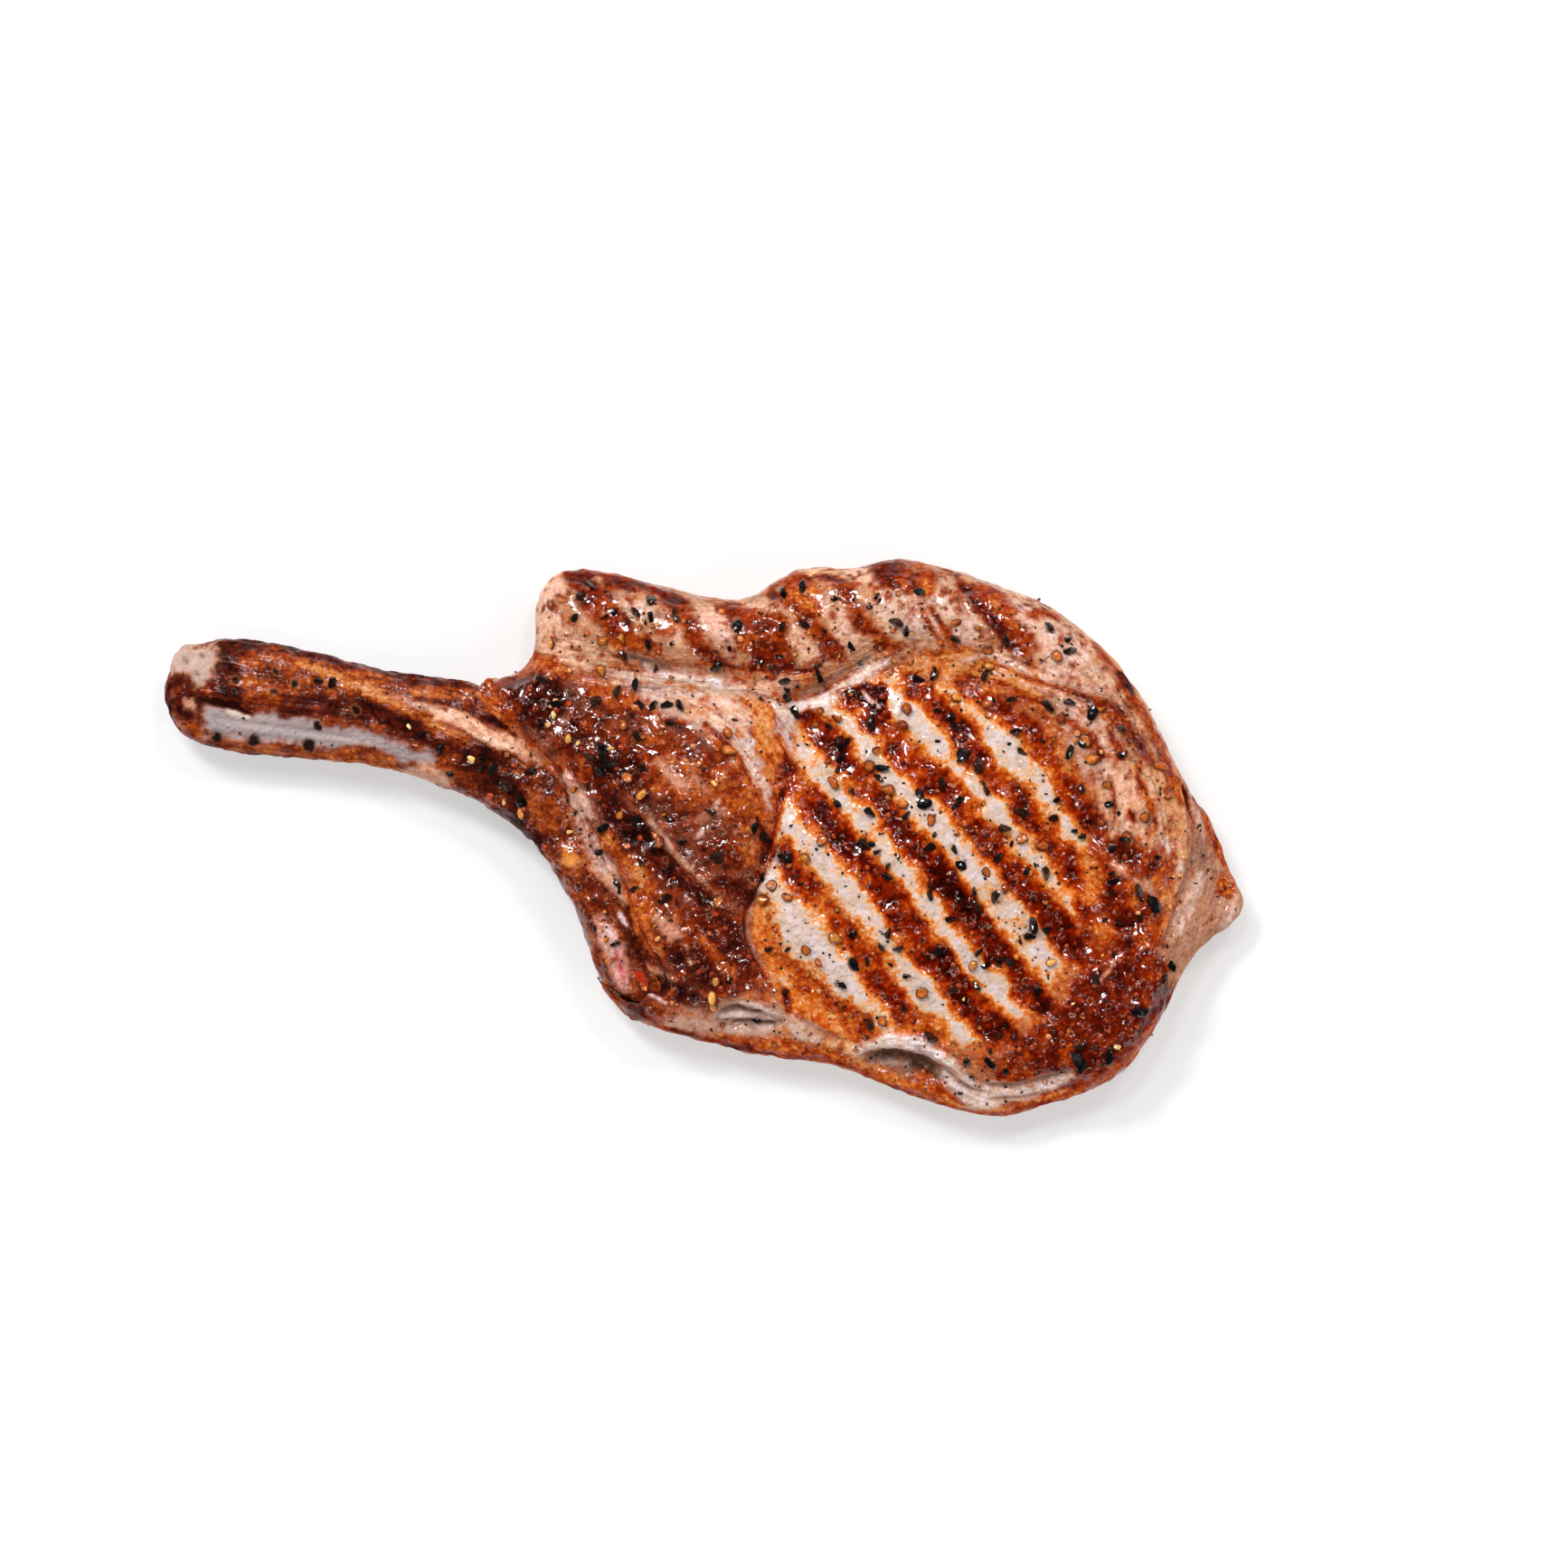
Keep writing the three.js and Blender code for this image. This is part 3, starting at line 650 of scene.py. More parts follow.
def thin_out(piece, ratio, weight):
    """Leaves fewer faces where the weight, from 0 to 1 at each corner, is high."""
    group = piece.vertex_groups.new(name="plain")
    steps = np.round(weight, 1)
    for step in np.unique(steps[steps > 0]):
        group.add(np.flatnonzero(steps == step).tolist(), float(step), "REPLACE")
    apply(piece, "DECIMATE", ratio=ratio, vertex_group="plain", vertex_group_factor=10)
    piece.vertex_groups.clear()


rolls = [roll(SEAM_TO_RIB, height, radius) for height, radius in ROLLS]
chop = fine_copy("grilled_loin_meat", "loin_meat", MEAT_VOXEL, MEAT_ROUNDING, rolls)
_, facing = corners_of(chop.data)
thin_out(chop, KEPT_FACES, near(-facing[:, 2], 0.6, 0.95))
meat = Skin(chop, seed=31)
CAP_FAT = [
    (-37, 40), (-36, 54), (-28, 60), (-5, 56), (5, 53), (15, 58), (40, 62), (60, 58), (80, 48), (92, 34),
    (102, 16), (106, 4), (96, 8), (88, 18), (78, 26), (66, 31), (50, 35), (36, 36), (24, 34), (8, 34),
    (-8, 37), (-20, 38), (-30, 37),
]
RIB_SIDE_MUSCLE = [
    (-48, 33), (-38, 34), (-30, 33), (-22, 31.4), (-15, 29), (-9, 26.4), (-3, 23), (3, 18.6), (8, 12.6),
    (10.6, 8), (13.4, 3), (12, -3), (10, -9), (9.4, -16), (9.8, -22), (12, -27), (14.6, -32), (5, -33.4),
    (2, -36), (-4, -36.6), (-10, -38), (-18, -38), (-16, -30), (-16, -24), (-13, -18), (-11, -14), (-17, -8),
    (-22, -1), (-26, 7), (-30, 14), (-36, 20), (-42, 27),
]
FAT_WEDGE = [
    (-18, 31), (-8, 32), (4, 31.4), (14, 30.6), (20, 29), (27, 32), (34, 33), (32, 28), (25, 27), (20, 22),
    (18.4, 15), (17, 8.5), (13, 6), (10, 12), (6, 17), (1, 21), (-6, 25), (-13, 28),
]
EYE = [
    (20, 25), (27, 29.6), (34, 33.4), (45, 33), (56, 31), (66, 26), (73, 19), (78, 9), (80.6, -3), (79, -14),
    (76, -24), (71, -33), (62, -41), (50, -42.6), (38, -42.6), (28, -41), (20, -37), (14, -29.6), (10.4, -22),
    (10.4, -14), (12.6, -7), (15.8, 1), (16.6, 8), (19, 15),
]
# What the chop is made of where: an outline, its tint, and how seared, wet, clean and fatty it is.
REGIONS = [
    (CAP_FAT, "CCA07A", 0.48, 0.8, 0.58, 0.5),
    (RIB_SIDE_MUSCLE, "AC755C", 0.6, 0.9, 0.26, 0.7),
    (FAT_WEDGE, "C4AEA2", 0.33, 0.5, 0.78, 0.4),
    (EYE, "C8B5AA", 0.0, 0.5, 0.0, 0.0),
]
CAP = [
    # pinkish-beige fat between the marks
    ("D4A688", 0, [(-36.4, 44), (-36, 53), (-32, 57.6), (-29.6, 54), (-30.6, 48), (-30, 43)], 0.5, 0),
    ("D1A58C", 4.4, [(-16.6, 48.8), (-12, 47.4)], 0.55, 0),
    ("D3A388", 3.2, [(-7, 44.4), (-5.4, 42)], 0.55, 0),
    ("D4A78B", 0, [(-1, 47.6), (3, 48), (6.4, 44.6), (6, 41.4), (2.4, 42), (-0.6, 44)], 0.55, 0.1),
    ("D1A386", 3, [(8.4, 48.6), (12, 47), (14, 46.4)], 0.55, 0),
    ("DAAA88", 0, [(17.4, 42.6), (21, 43), (24, 38.6), (23.4, 36), (19, 36.4), (16.8, 39)], 0.5, 0),
    ("EAAE7C", 2.6, [(20, 55.4), (25, 54.6), (29, 54.6)], 0.5, 0),
    ("D4A68B", 2.8, [(30.6, 56), (34, 54.4)], 0.5, 0),
    ("D1A388", 0, [(25.6, 49.6), (28, 49), (31, 44.6), (32.6, 40.4), (29.6, 39.4), (26.6, 43.4)], 0.5, 0),
    ("C8A288", 0, [(36, 51), (42, 53.6), (48, 52.6), (51.6, 48), (50.6, 44), (46, 42.4), (40, 41.4),
                   (37, 45)], 0.6, 0.2),
    ("CAA38B", 0, [(52, 47), (56, 46.4), (58, 42.6), (56, 38.6), (52, 39)], 0.7, 0),
    ("CEA68E", 0, [(64, 49.6), (70, 48.6), (76, 43), (80.6, 40), (84.4, 35), (85, 31), (80, 31), (72, 35.6),
                   (69.6, 40), (66, 44.6)], 0.4, 0.2),
    ("C89A7C", 0, [(71, 37.4), (77, 36.4), (84, 33), (83, 30.2), (76, 31.6), (70, 33.4)], 0.4, 0.1),
    ("B58567", 0.9, [(78, 42), (81, 38), (83.6, 33)], 0.4, -0.3),
    ("B58567", 0.9, [(80.6, 37.4), (79.6, 34), (81.4, 31)], 0.4, -0.3),
    ("DBAF95", 1.5, [(58.6, 54.6), (63, 52.4), (67, 50.2)], 0.5, 0.2),
    # the bars' marks across the cap
    (0.55, 6.4, [(-28, 55.6), (-25, 52.4), (-22, 49), (-19, 45.6), (-17, 42)], 0.7, -0.5),
    (0.5, 4.4, [(-24, 57.4), (-18, 54), (-11, 52)], 0.65, -0.2),
    (0.45, 2.4, [(-20, 41.4), (-15, 40.6), (-10, 39.8)], 0.6, -0.2),
    (0.57, 3.8, [(-9.4, 51.6), (-6, 49.4), (-3.6, 46), (-2.4, 42.6), (-0.4, 39), (2.4, 36.4)], 0.7, -0.5),
    (0.55, 0, [(5.6, 45), (10, 46.6), (14, 46.8), (16.6, 44.6), (17.8, 39.6), (19.4, 36), (16, 34.6),
               (11, 35.4), (8.6, 39), (7, 42)], 0.7, -0.5),
    (0.47, 2.4, [(3, 47.8), (9, 46.8), (16, 45.4)], 0.65, -0.2),
    (0.35, 7.6, [(17.6, 54.6), (20, 51), (22, 47.6)], 0.55, -0.1),
    (0.57, 2.6, [(14.4, 51), (17.4, 49.2), (19.4, 47.4)], 0.6, -0.3),
    (0.51, 3.4, [(19.6, 47), (23, 43.4), (25.6, 40.4), (28.4, 37.6)], 0.65, -0.4),
    (0.51, 3, [(24.4, 54.4), (27.6, 53.4), (30.4, 51.6)], 0.65, -0.1),
    (0.57, 3.2, [(28.6, 52.4), (31, 48), (33.8, 44), (37, 41), (39.6, 39.6)], 0.65, -0.4),
    (0.61, 0, [(34.6, 58), (39, 58.6), (43, 56.4), (45, 53.6), (43.6, 51.4), (40, 51.4), (36.6, 53),
               (35, 55.4)], 0.7, -0.3),
    (0.31, 3, [(44.6, 57), (46.6, 53.6), (46, 50.6)], 0.5, 0),
    (0.51, 1.1, [(44.8, 48.6), (47, 44), (49.8, 40.2)], 0.7, -0.3),
    (0.55, 1.4, [(47.2, 48), (50, 43.6), (53.4, 37.4)], 0.7, -0.3),
    (0.51, 2, [(52.6, 54.6), (55.6, 50.6), (58, 47.4)], 0.7, -0.3),
    (0.69, 3.6, [(54.4, 51.8), (57.6, 48.6), (60.4, 45.6), (62.6, 42), (65.4, 39), (68, 35.8)], 0.85, -0.5),
    (0.41, 3.4, [(58, 51.6), (61, 49), (63.4, 46)], 0.7, -0.2),
    (0.45, 3, [(63, 45.6), (66, 42.6), (69.4, 39.4)], 0.7, 0),
    (0.37, 2, [(68, 46.6), (71, 47), (74, 45.6)], 0.5, 0),
    # the fibrous strip under the cap, running to the right
    (0.2, 0, [(36, 33), (44, 37.4), (52, 39), (60, 38.6), (66, 35.6), (74, 31.4), (70, 29.6), (62, 31.4),
              (54, 33.6), (44, 34.4)], 0.5, 0.1),
    ("D0A890", 1.8, [(54, 37), (60, 37.8), (66, 35), (73, 32.6), (80, 30.4)], 0.4, 0.2),
    ("D4A381", 1.4, [(60, 34.6), (66, 32.6), (73, 29.8), (79, 27.4)], 0.4, 0.2),
    (0.46, 1.0, [(56, 36), (62, 35.4), (68, 32.8), (75, 30.8), (80, 29)], 0.5, -0.3),
    (0.5, 0.9, [(57, 33), (62, 32), (66, 29.8), (71, 27.8), (77, 25.6)], 0.5, -0.3),
    (0.58, 3.4, [(76, 29.4), (81, 28.2), (85, 26), (88.6, 22.4), (91.6, 18.4), (94.6, 15)], 0.8, -0.3),
    # golden rim along the outer edge
    ("DA8B48", 3.6, [(79, 44), (84.6, 38), (89, 31), (94, 23), (98.4, 14)], 0.6, 0.1),
    (0.3, 2.4, [(82, 40), (87, 33), (91.6, 26), (95.4, 18.6)], 0.6, 0.1),
    (0.8, 2.6, [(86.4, 34.2), (88.4, 32.6), (89.4, 31)], 0.6, 0),
]
SEAMS = [
    # membrane and fat between the cap and the muscles
    ("D6A98B", 4.4, [(-36, 42), (-32, 39.4), (-26, 38), (-20, 37.4)], 0.5, 0.2),
    (0.3, 2.2, [(-36, 38.4), (-33, 36.6), (-29.4, 35.6)], 0.6, 0),
    ("E4BB9D", 2, [(-29, 37.2), (-24, 35.2)], 0.5, 0.3),
    ("D6BDAC", 3, [(-22, 36), (-17, 33.8), (-9, 33.2), (0, 32.2), (8, 31.2)], 0.45, 0.4),
    ("705049", 2.0, [(-15, 37.4), (-11.6, 36.4), (-7, 35.2)], 0.6, -0.7),
    ("E8D8D0", 1.1, [(-12.4, 35.6), (-8.6, 34), (-2, 33.4), (6, 32.6)], 0.6, 0.3),
    ("A47D67", 1.7, [(-5, 35.4), (2, 34.4), (9, 33.6)], 0.35, -0.4),
    # a thin dark line along the cap's lower edge, painted shade under it
    (0.66, 1.1, [(4, 35.8), (10, 34.9), (17, 34.6), (23, 34.6)], 0.6, -0.4),
    ("D7A78B", 2.6, [(6, 32.4), (12, 32.2), (18, 31.8)], 0.45, 0.2),
    # the sunk groove under the cap's edge, darkened partly as a seam and partly as painted shade
    ("866250", 2.3, [(17.4, 29.4), (21, 30), (25, 31.8), (29, 34.4), (34, 37)], 0.3, -0.6),
    (0.56, 0.7, [(19, 29), (24, 30.2), (28.6, 32.8), (32.6, 35.2)], 0.4, -0.5),
    ("E6DAD2", 3.0, [(18.6, 25.6), (23, 27.4), (27.6, 29.6), (32.4, 33.2), (38, 36.8)], 0.5, 0.5),
    # the wedge of fat between the two muscles
    ("D9B49C", 0, [(-12, 29.6), (-4, 30.4), (6, 29.6), (12, 28), (6, 22), (0, 23.6), (-8, 27)], 0.35, 0.2),
    ("D3A07E", 1.0, [(-8, 28.6), (-2, 26.6), (4, 23)], 0.4, -0.3),
    (0.2, 4.4, [(9.4, 28.4), (12.6, 26), (12, 22), (12.4, 18)], 0.4, 0),
    (0.32, 4.8, [(15.6, 20.4), (15.4, 16.4), (14.4, 12)], 0.5, 0.1),
    (0.44, 2.2, [(15.8, 14.8), (15.4, 11.4), (15.6, 5.6)], 0.5, 0),
    ("D8B29A", 1.8, [(3, 21.6), (7.6, 17), (11, 11.6), (12.6, 6.6)], 0.4, 0.4),
    ("D8C6BA", 1.6, [(10, 20), (9.4, 16), (13.6, 9.6)], 0.4, 0.2),
    (0.62, 1.2, [(0, 23.6), (3.4, 20.6), (7.6, 15.8), (9.6, 11)], 0.5, -0.4),
    (0.62, 0.9, [(16.8, 18), (17.6, 13), (15.6, 7), (14.6, 2), (13.2, -3)], 0.5, -0.9),
]
MUSCLE = [
    (0.42, 0, [(-47, 33), (-40, 33), (-36, 28), (-40, 23), (-44, 27)], 0.7, 0.1),
    (0.78, 0, [(-40.4, 31.6), (-36, 33.2), (-31, 31.6), (-28.6, 27.6), (-31, 23.4), (-35, 22.6), (-38.4, 26)],
     0.85, 0.3),
    (0.45, 4, [(-24, 30.6), (-18, 28.6), (-13, 27)], 0.7, 0.1),
    ("C28C70", 2.2, [(-30, 24.6), (-27, 22.6), (-25, 20.4)], 0.9, 0.1),
    (0.72, 0, [(-31, 21), (-25, 25), (-18, 22), (-12, 16), (-14, 11.4), (-20, 10), (-26, 12)], 0.95, 0.4),
    (0.74, 4.2, [(-22, 16), (-19, 14.6)], 1.0, 0.5),
    (0.9, 3.4, [(-17, 13), (-15.4, 11.8)], 1.0, 0.3),
    (0.44, 0, [(-12, 21), (-6, 20), (0, 15), (3, 9), (-2, 6.6), (-8, 8.6), (-13, 13)], 0.9, 0.3),
    ("C89276", 2.6, [(-9.6, 15.6), (-6.4, 12.6), (-4, 9.6)], 0.8, 0.3),
    ("C0886C", 2, [(-4, 16), (-1.4, 12), (1, 9)], 0.8, 0.3),
    (0.52, 0, [(1, 17), (6, 14), (10, 8), (11, 3), (7, 3), (3, 8), (-1, 13)], 0.7, 0.3),
    (0.36, 2.6, [(8.6, 11.6), (10.6, 6.6), (12, 1)], 0.6, 0.1),
    # the bar's dark mark, with a fold of fat on each side of it
    (0.81, 5.4, [(-22.6, 10.6), (-19.4, 6), (-15, 1), (-10, -4), (-5, -8.4), (0, -13.4)], 0.55, -0.7),
    (0.34, 2.6, [(-20.6, 0.6), (-17.6, -3.4), (-13.6, -7.6), (-9.4, -12)], 0.85, 0.4),
    ("B68E76", 1.5, [(-12.4, 5.4), (-9, 0.4), (-4.6, -4.8), (0.4, -9.8)], 0.8, 0.4),
    ("A46854", 2.2, [(-3, 2), (0, 4.6), (4, 5.4)], 0.8, 0.2),
    # two small pale marks by the round lump, painted highlights
    ("D6AE9E", 1.0, [(2.2, 6.4), (3.2, 8.2)], 1.0, 0.2),
    ("D6AE9E", 1.0, [(-1.6, 0), (-0.2, 1.4)], 1.0, 0.2),
    # the round lump by the eye
    (0.6, 10.4, [(4.6, -2.6), (5.6, -3.8)], 0.8, 1.1),
    (0.34, 3, [(8.6, 0), (9, -5)], 0.7, 0.1),
    (0.82, 1.1, [(11, 4), (12.4, 0), (12.2, -4.6), (10.4, -9)], 0.5, -1.0),
    (0.72, 4.2, [(2.4, -9.6), (6.4, -11), (9.6, -13)], 0.4, -0.9),
    ("6B4C40", 2, [(6, -13), (8.6, -17), (9, -21)], 0.35, -0.4),
    (0.68, 0, [(-9, -14), (-2, -15), (6, -17), (9, -22), (12, -29), (6, -32), (-2, -30), (-8, -24)],
     0.85, 0.3),
    (0.4, 2.6, [(-7, -15.6), (-2, -20), (3, -25.4), (7, -30)], 0.8, 0.2),
    ("CA9073", 3, [(-9.6, -17), (-6.6, -20), (-4, -22.6)], 0.8, 0.4),
    ("E1B18E", 1.5, [(-3.6, -25), (-2.4, -26.8)], 0.8, 0.2),
    (0.34, 3.4, [(-14, -17), (-11.6, -21), (-8.6, -24.6)], 0.8, 0.2),
    ("C28567", 1.4, [(-15, -23.6), (-11, -27.6), (-5.4, -30.6)], 0.8, 0.5),
    (0.85, 4.6, [(-11.6, -30), (-7, -32), (-3, -33.6)], 0.95, -0.2),
    ("E4CDC3", 0.9, [(-13, -32.2), (-8, -34.6)], 0.9, 0.3),
    (0.56, 3, [(-14, -36.4), (-8, -37.6), (-2, -39)], 0.7, 0),
]
EYE_EDGE = [
    # a thin grey skin where the eye parts from its neighbours
    ("9A8B82", 1.0, [(15.2, -2), (13, -7), (10.8, -12), (9.4, -17), (9.8, -22), (12, -26.4), (15.4, -30.4),
                     (18, -35)], 0.4, -1.0),
    (0.82, 0.6, [(14.2, -3), (12, -8), (9.6, -13), (8.4, -17), (8.8, -22), (11, -27), (14, -31.4)],
     0.3, -0.6),
    ("E5D6CD", 1.8, [(14.8, -5), (13.4, -8.4), (12, -11)], 0.7, 0.2),
    (0.24, 3, [(11, -15), (11, -21), (13.6, -26)], 0.4, 0.2),
    (0.3, 2, [(13, -27.6), (17, -33), (24, -38.6), (31, -41.6)], 0.5, 0.1),
]
RIGHT = [
    (0.5, 0, [(79, -4), (84, 0), (92, 0), (97, -6), (98, -14), (95, -22), (99, -27), (101, -33), (95, -43),
              (88, -52), (78, -58), (64, -56), (61, -47), (69, -40), (77, -32), (80, -24), (78, -14)],
     0.88, 0),
    (0.62, 0, [(66, -43), (72, -37), (80, -29), (88, -26), (95, -29), (97, -36), (91, -43), (83, -48),
               (74, -50.6)], 0.95, 0.2),
    (0.72, 4.4, [(83.6, -10), (87, -16), (89, -22)], 0.9, 0),
    (0.66, 4, [(84, -1.6), (87, -2.4), (90, -3.6)], 0.9, 0.1),
    (0.26, 4.6, [(79.4, -4), (81.4, -7.6), (80.6, -12)], 0.6, 0.1),
    (0.32, 3.6, [(81, -18.4), (84, -20)], 0.7, 0.3),
    ("D39774", 2.4, [(85.6, -5.6), (88, -8)], 0.8, 0.2),
    ("C89C7E", 3, [(90.4, -9), (93.4, -11.4)], 0.8, 0.1),
    (0.3, 3, [(94.6, -8), (96.6, -14), (95.6, -20)], 0.8, 0.2),
    ("C98E74", 0.9, [(86, -25.4), (84.2, -28), (81.4, -31)], 0.95, 0.4),
    (0.72, 1.6, [(86, -28.6), (82.6, -32.6), (78, -37)], 0.9, -0.5),
    (0.27, 2.6, [(94.6, -37), (91.6, -43), (86, -48.6), (79, -52.4), (72, -54.6)], 0.7, 0.1),
    ("CFA68E", 0, [(71, 31), (77, 29), (82, 25.6), (86, 21), (86.4, 15.4), (82.6, 12), (79, 14), (77.4, 19),
                   (73.6, 24)], 0.75, 0.1),
    (0.56, 2.2, [(76, 24.6), (80, 21), (83, 17)], 0.8, 0),
    (0.5, 1.8, [(84, 22.6), (86.6, 17.6), (85, 12.6)], 0.8, 0),
    # the pale folds beside it, under the golden rim
    ("D3A383", 0, [(82, 8), (84, 13.6), (88, 15.4), (92.6, 13), (95.6, 8), (97, 2), (94.4, -2), (90, -0.6),
                   (86, 0), (83, 3.6)], 0.45, 0.3),
    ("C49071", 1.3, [(88.6, 15), (91, 10), (92.6, 5), (92, 0)], 0.4, -0.4),
    ("E5BB9E", 1.6, [(86.4, 12), (87.6, 7), (88, 2.4)], 0.4, 0.3),
    (0.6, 1.2, [(84.6, 12.6), (85.6, 7), (85.4, 2.4)], 0.7, -0.2),
    (0.56, 1.6, [(90.4, 12.8), (92.6, 8), (94.2, 2.6)], 0.7, -0.2),
    (0.62, 1.8, [(88.6, 5.6), (89.8, 3.4)], 0.8, 0),
    ("D89967", 0, [(97.6, 17), (100, 10), (101.2, 4), (101, -4), (99.4, -10), (97, -16), (96, -12),
                   (97.4, -5), (97.6, 2), (95.6, 9), (93.6, 14)], 0.6, 0.3),
    (0.34, 2.4, [(95, 17), (98, 12), (99.6, 7.6)], 0.7, 0),
    (0.34, 1.8, [(97.6, -1), (97.8, -6), (96.8, -11)], 0.8, -0.3),
    ("E9D8CD", 1.8, [(96.2, -0.8), (97, -3)], 0.7, 0.1),
    ("E6D3C8", 1.4, [(99.6, -5), (99, -7.4)], 0.8, 0.1),
    # the thin flap at the right
    ("B08166", 0, [(100.6, 12), (104, 8.6), (108, 2), (112, -6), (117, -13), (112, -21), (104, -26),
                   (99, -32), (96, -26), (96.4, -21), (98.6, -15), (101.4, -8), (102, 0)], 0.45, 0),
    ("D2BFB2", 1.6, [(101.8, 9.4), (103.4, 4.6), (104.4, 0)], 0.6, 0.4),
    ("96523A", 2.8, [(103.8, 8.6), (105.8, 3.6), (107.4, -2)], 0.6, 0.1),
    ("8E6654", 2.6, [(103.4, 0), (104.2, -3.4), (104, -6.4)], 0.5, -0.2),
    ("D6BBAA", 2.4, [(103.6, -8), (101.6, -14), (99.4, -20)], 0.5, 0.3),
    ("9C6C54", 1.6, [(107, -6), (107.4, -12), (105, -19)], 0.45, -0.2),
    ("CFAF9C", 1.6, [(110.6, -9), (111, -14), (108.6, -19.6)], 0.45, 0.2),
    (0.34, 4.2, [(108.4, -9.4), (110.2, -11.4)], 0.85, 0.1),
    (0.48, 3.2, [(102.6, 8.4), (105.2, 3.4), (108, -2.6), (110.4, -7.4)], 0.6, 0),
    (0.36, 1.5, [(99.6, -31.6), (104.6, -26.6), (111, -22)], 0.5, 0),
    ("BE8E6A", 2.0, [(98.6, -29), (103, -24.6), (107, -21.6), (113, -18.6)], 0.5, 0),
    ("B4856E", 1.2, [(100, -14), (101, -18), (99.6, -23)], 0.4, -0.2),
    (0.8, 1.1, [(100.2, 10.6), (101.4, 7), (102.6, 2.6)], 0.3, -0.9),
    ("A07660", 1.0, [(102.4, 1.6), (102, -3), (100.6, -9.4), (98.4, -15.4), (96.6, -21)], 0.3, -0.6),
]
BOTTOM = [
    ("C8A08A", 0, [(-8, -37), (-2, -36.6), (3, -38.4), (2, -41), (-4, -41.4), (-9, -40)], 0.5, 0.1),
    (0.5, 0, [(-10, -40), (0, -41.4), (10, -43), (18, -42.6), (17, -50), (0, -48), (-12, -44)], 0.6, 0),
    # the first tear, a hollow of wrinkled grey-pink flesh
    ("AB8F80", 0, [(3, -36.4), (8, -34.2), (13, -35.2), (17, -37), (17.4, -40), (14, -41.4), (8, -41),
                   (3, -39.2)], 0.45, -1.0),
    ("6C4C3E", 1.2, [(4, -36.4), (7, -36), (9.6, -37.2), (12, -36.6)], 0.4, -0.8),
    ("6C4C3E", 1.3, [(6, -39.4), (9, -38.8), (13, -39.8), (16, -39.2)], 0.4, -0.8),
    ("D2BDB0", 1.4, [(3.6, -38), (7, -37.6), (10, -38.2)], 0.5, 0.5),
    ("D8C4B8", 1.5, [(8, -34.8), (11.4, -35.6), (15.6, -37.4)], 0.5, 0.5),
    ("C8AC9C", 1.4, [(4.6, -40.4), (9, -40.8), (14, -40.8)], 0.5, 0.4),
    ("CEAE9A", 4.4, [(17.6, -38.6), (20, -40.4), (24, -42.6)], 0.5, 0.4),
    (0.62, 1.4, [(16.6, -31.6), (17.2, -34.4), (17.6, -36.8)], 0.6, -0.7),
    ("8F6C5A", 1.0, [(20, -37.6), (24, -40.4), (28.6, -42.4)], 0.4, -0.6),
    ("E2B27E", 2.4, [(26, -43), (29.4, -44.4), (32.6, -46.4)], 0.5, 0.2),
    (0.4, 4.4, [(12, -44), (18, -44.6), (24, -45.4), (29, -46.8)], 0.7, 0.1),
    # the second tear, a hollow under an arched white lip, with dark browns painted in it as shade under the
    # lip
    ("8C6A58", 0, [(33, -45.4), (38, -44.4), (44, -45), (49.6, -47.4), (53, -50), (46, -50.6), (38, -49.4),
                   (33.6, -47.6)], 0.4, -1.7),
    # painted shade in the hollow under the lip
    ("553A2E", 2.4, [(35.4, -46.4), (39.6, -46.4), (44, -47.4), (48, -49.4)], 0.35, -0.9),
    ("B39584", 1.0, [(36, -48.2), (40, -48), (43, -49)], 0.4, 0.3),
    ("4A3026", 1.3, [(43, -48.8), (46, -50), (49.6, -51.4)], 0.35, -0.6),
    ("E2D6CF", 2.6, [(32.4, -44.6), (35.6, -43.2), (39.6, -42.8), (45, -43.6), (50, -46.2), (54, -49.8)],
     0.6, 0.9),
    ("C9B2A6", 1.1, [(38, -44.6), (44, -45.2), (48.6, -47.4)], 0.5, 0.2),
    ("DCCBC1", 0, [(50.4, -49.4), (55, -50.6), (61, -52.6), (61.6, -56), (57, -57.4), (53, -54.6),
                   (50, -51.6)], 0.55, 0.4),
    ("8A6858", 0.9, [(51, -49.8), (55.6, -52.4), (60, -53.6)], 0.4, -0.7),
    ("D9C3B6", 3.4, [(59, -53.6), (65, -53.6), (71, -52.2), (77, -49.8)], 0.5, 0.4),
    ("8A6858", 1.0, [(58, -51.6), (64, -52), (70, -50.8), (77, -48.6)], 0.4, -0.7),
    ("A88672", 0.8, [(60, -54.6), (66, -54.4), (72, -53)], 0.4, -0.4),
    (0.36, 4.2, [(44, -52), (48.6, -54), (53, -56.4)], 0.8, 0.3),
    (0.6, 1.6, [(34, -49.8), (38, -52), (43, -54.6)], 0.6, -0.2),
    (0.3, 2.4, [(34, -48.8), (38, -50.6), (42, -52.4)], 0.6, 0.1),
    (0.34, 3, [(52, -58), (60, -58.6), (68, -57.2), (76, -53)], 0.7, 0),
]
BAR_HEAD = [
    # The head of the fourth bar is a dark glazed curl.
    (0.9, 5.4, [(31, 29.6), (34.6, 29.6), (37, 26.4)], 1.0, 0.3),
    ("E8C8D0", 0.9, [(33, 30.6), (34.6, 28.6), (36.4, 27.4)], 1.0, 0.3),
]
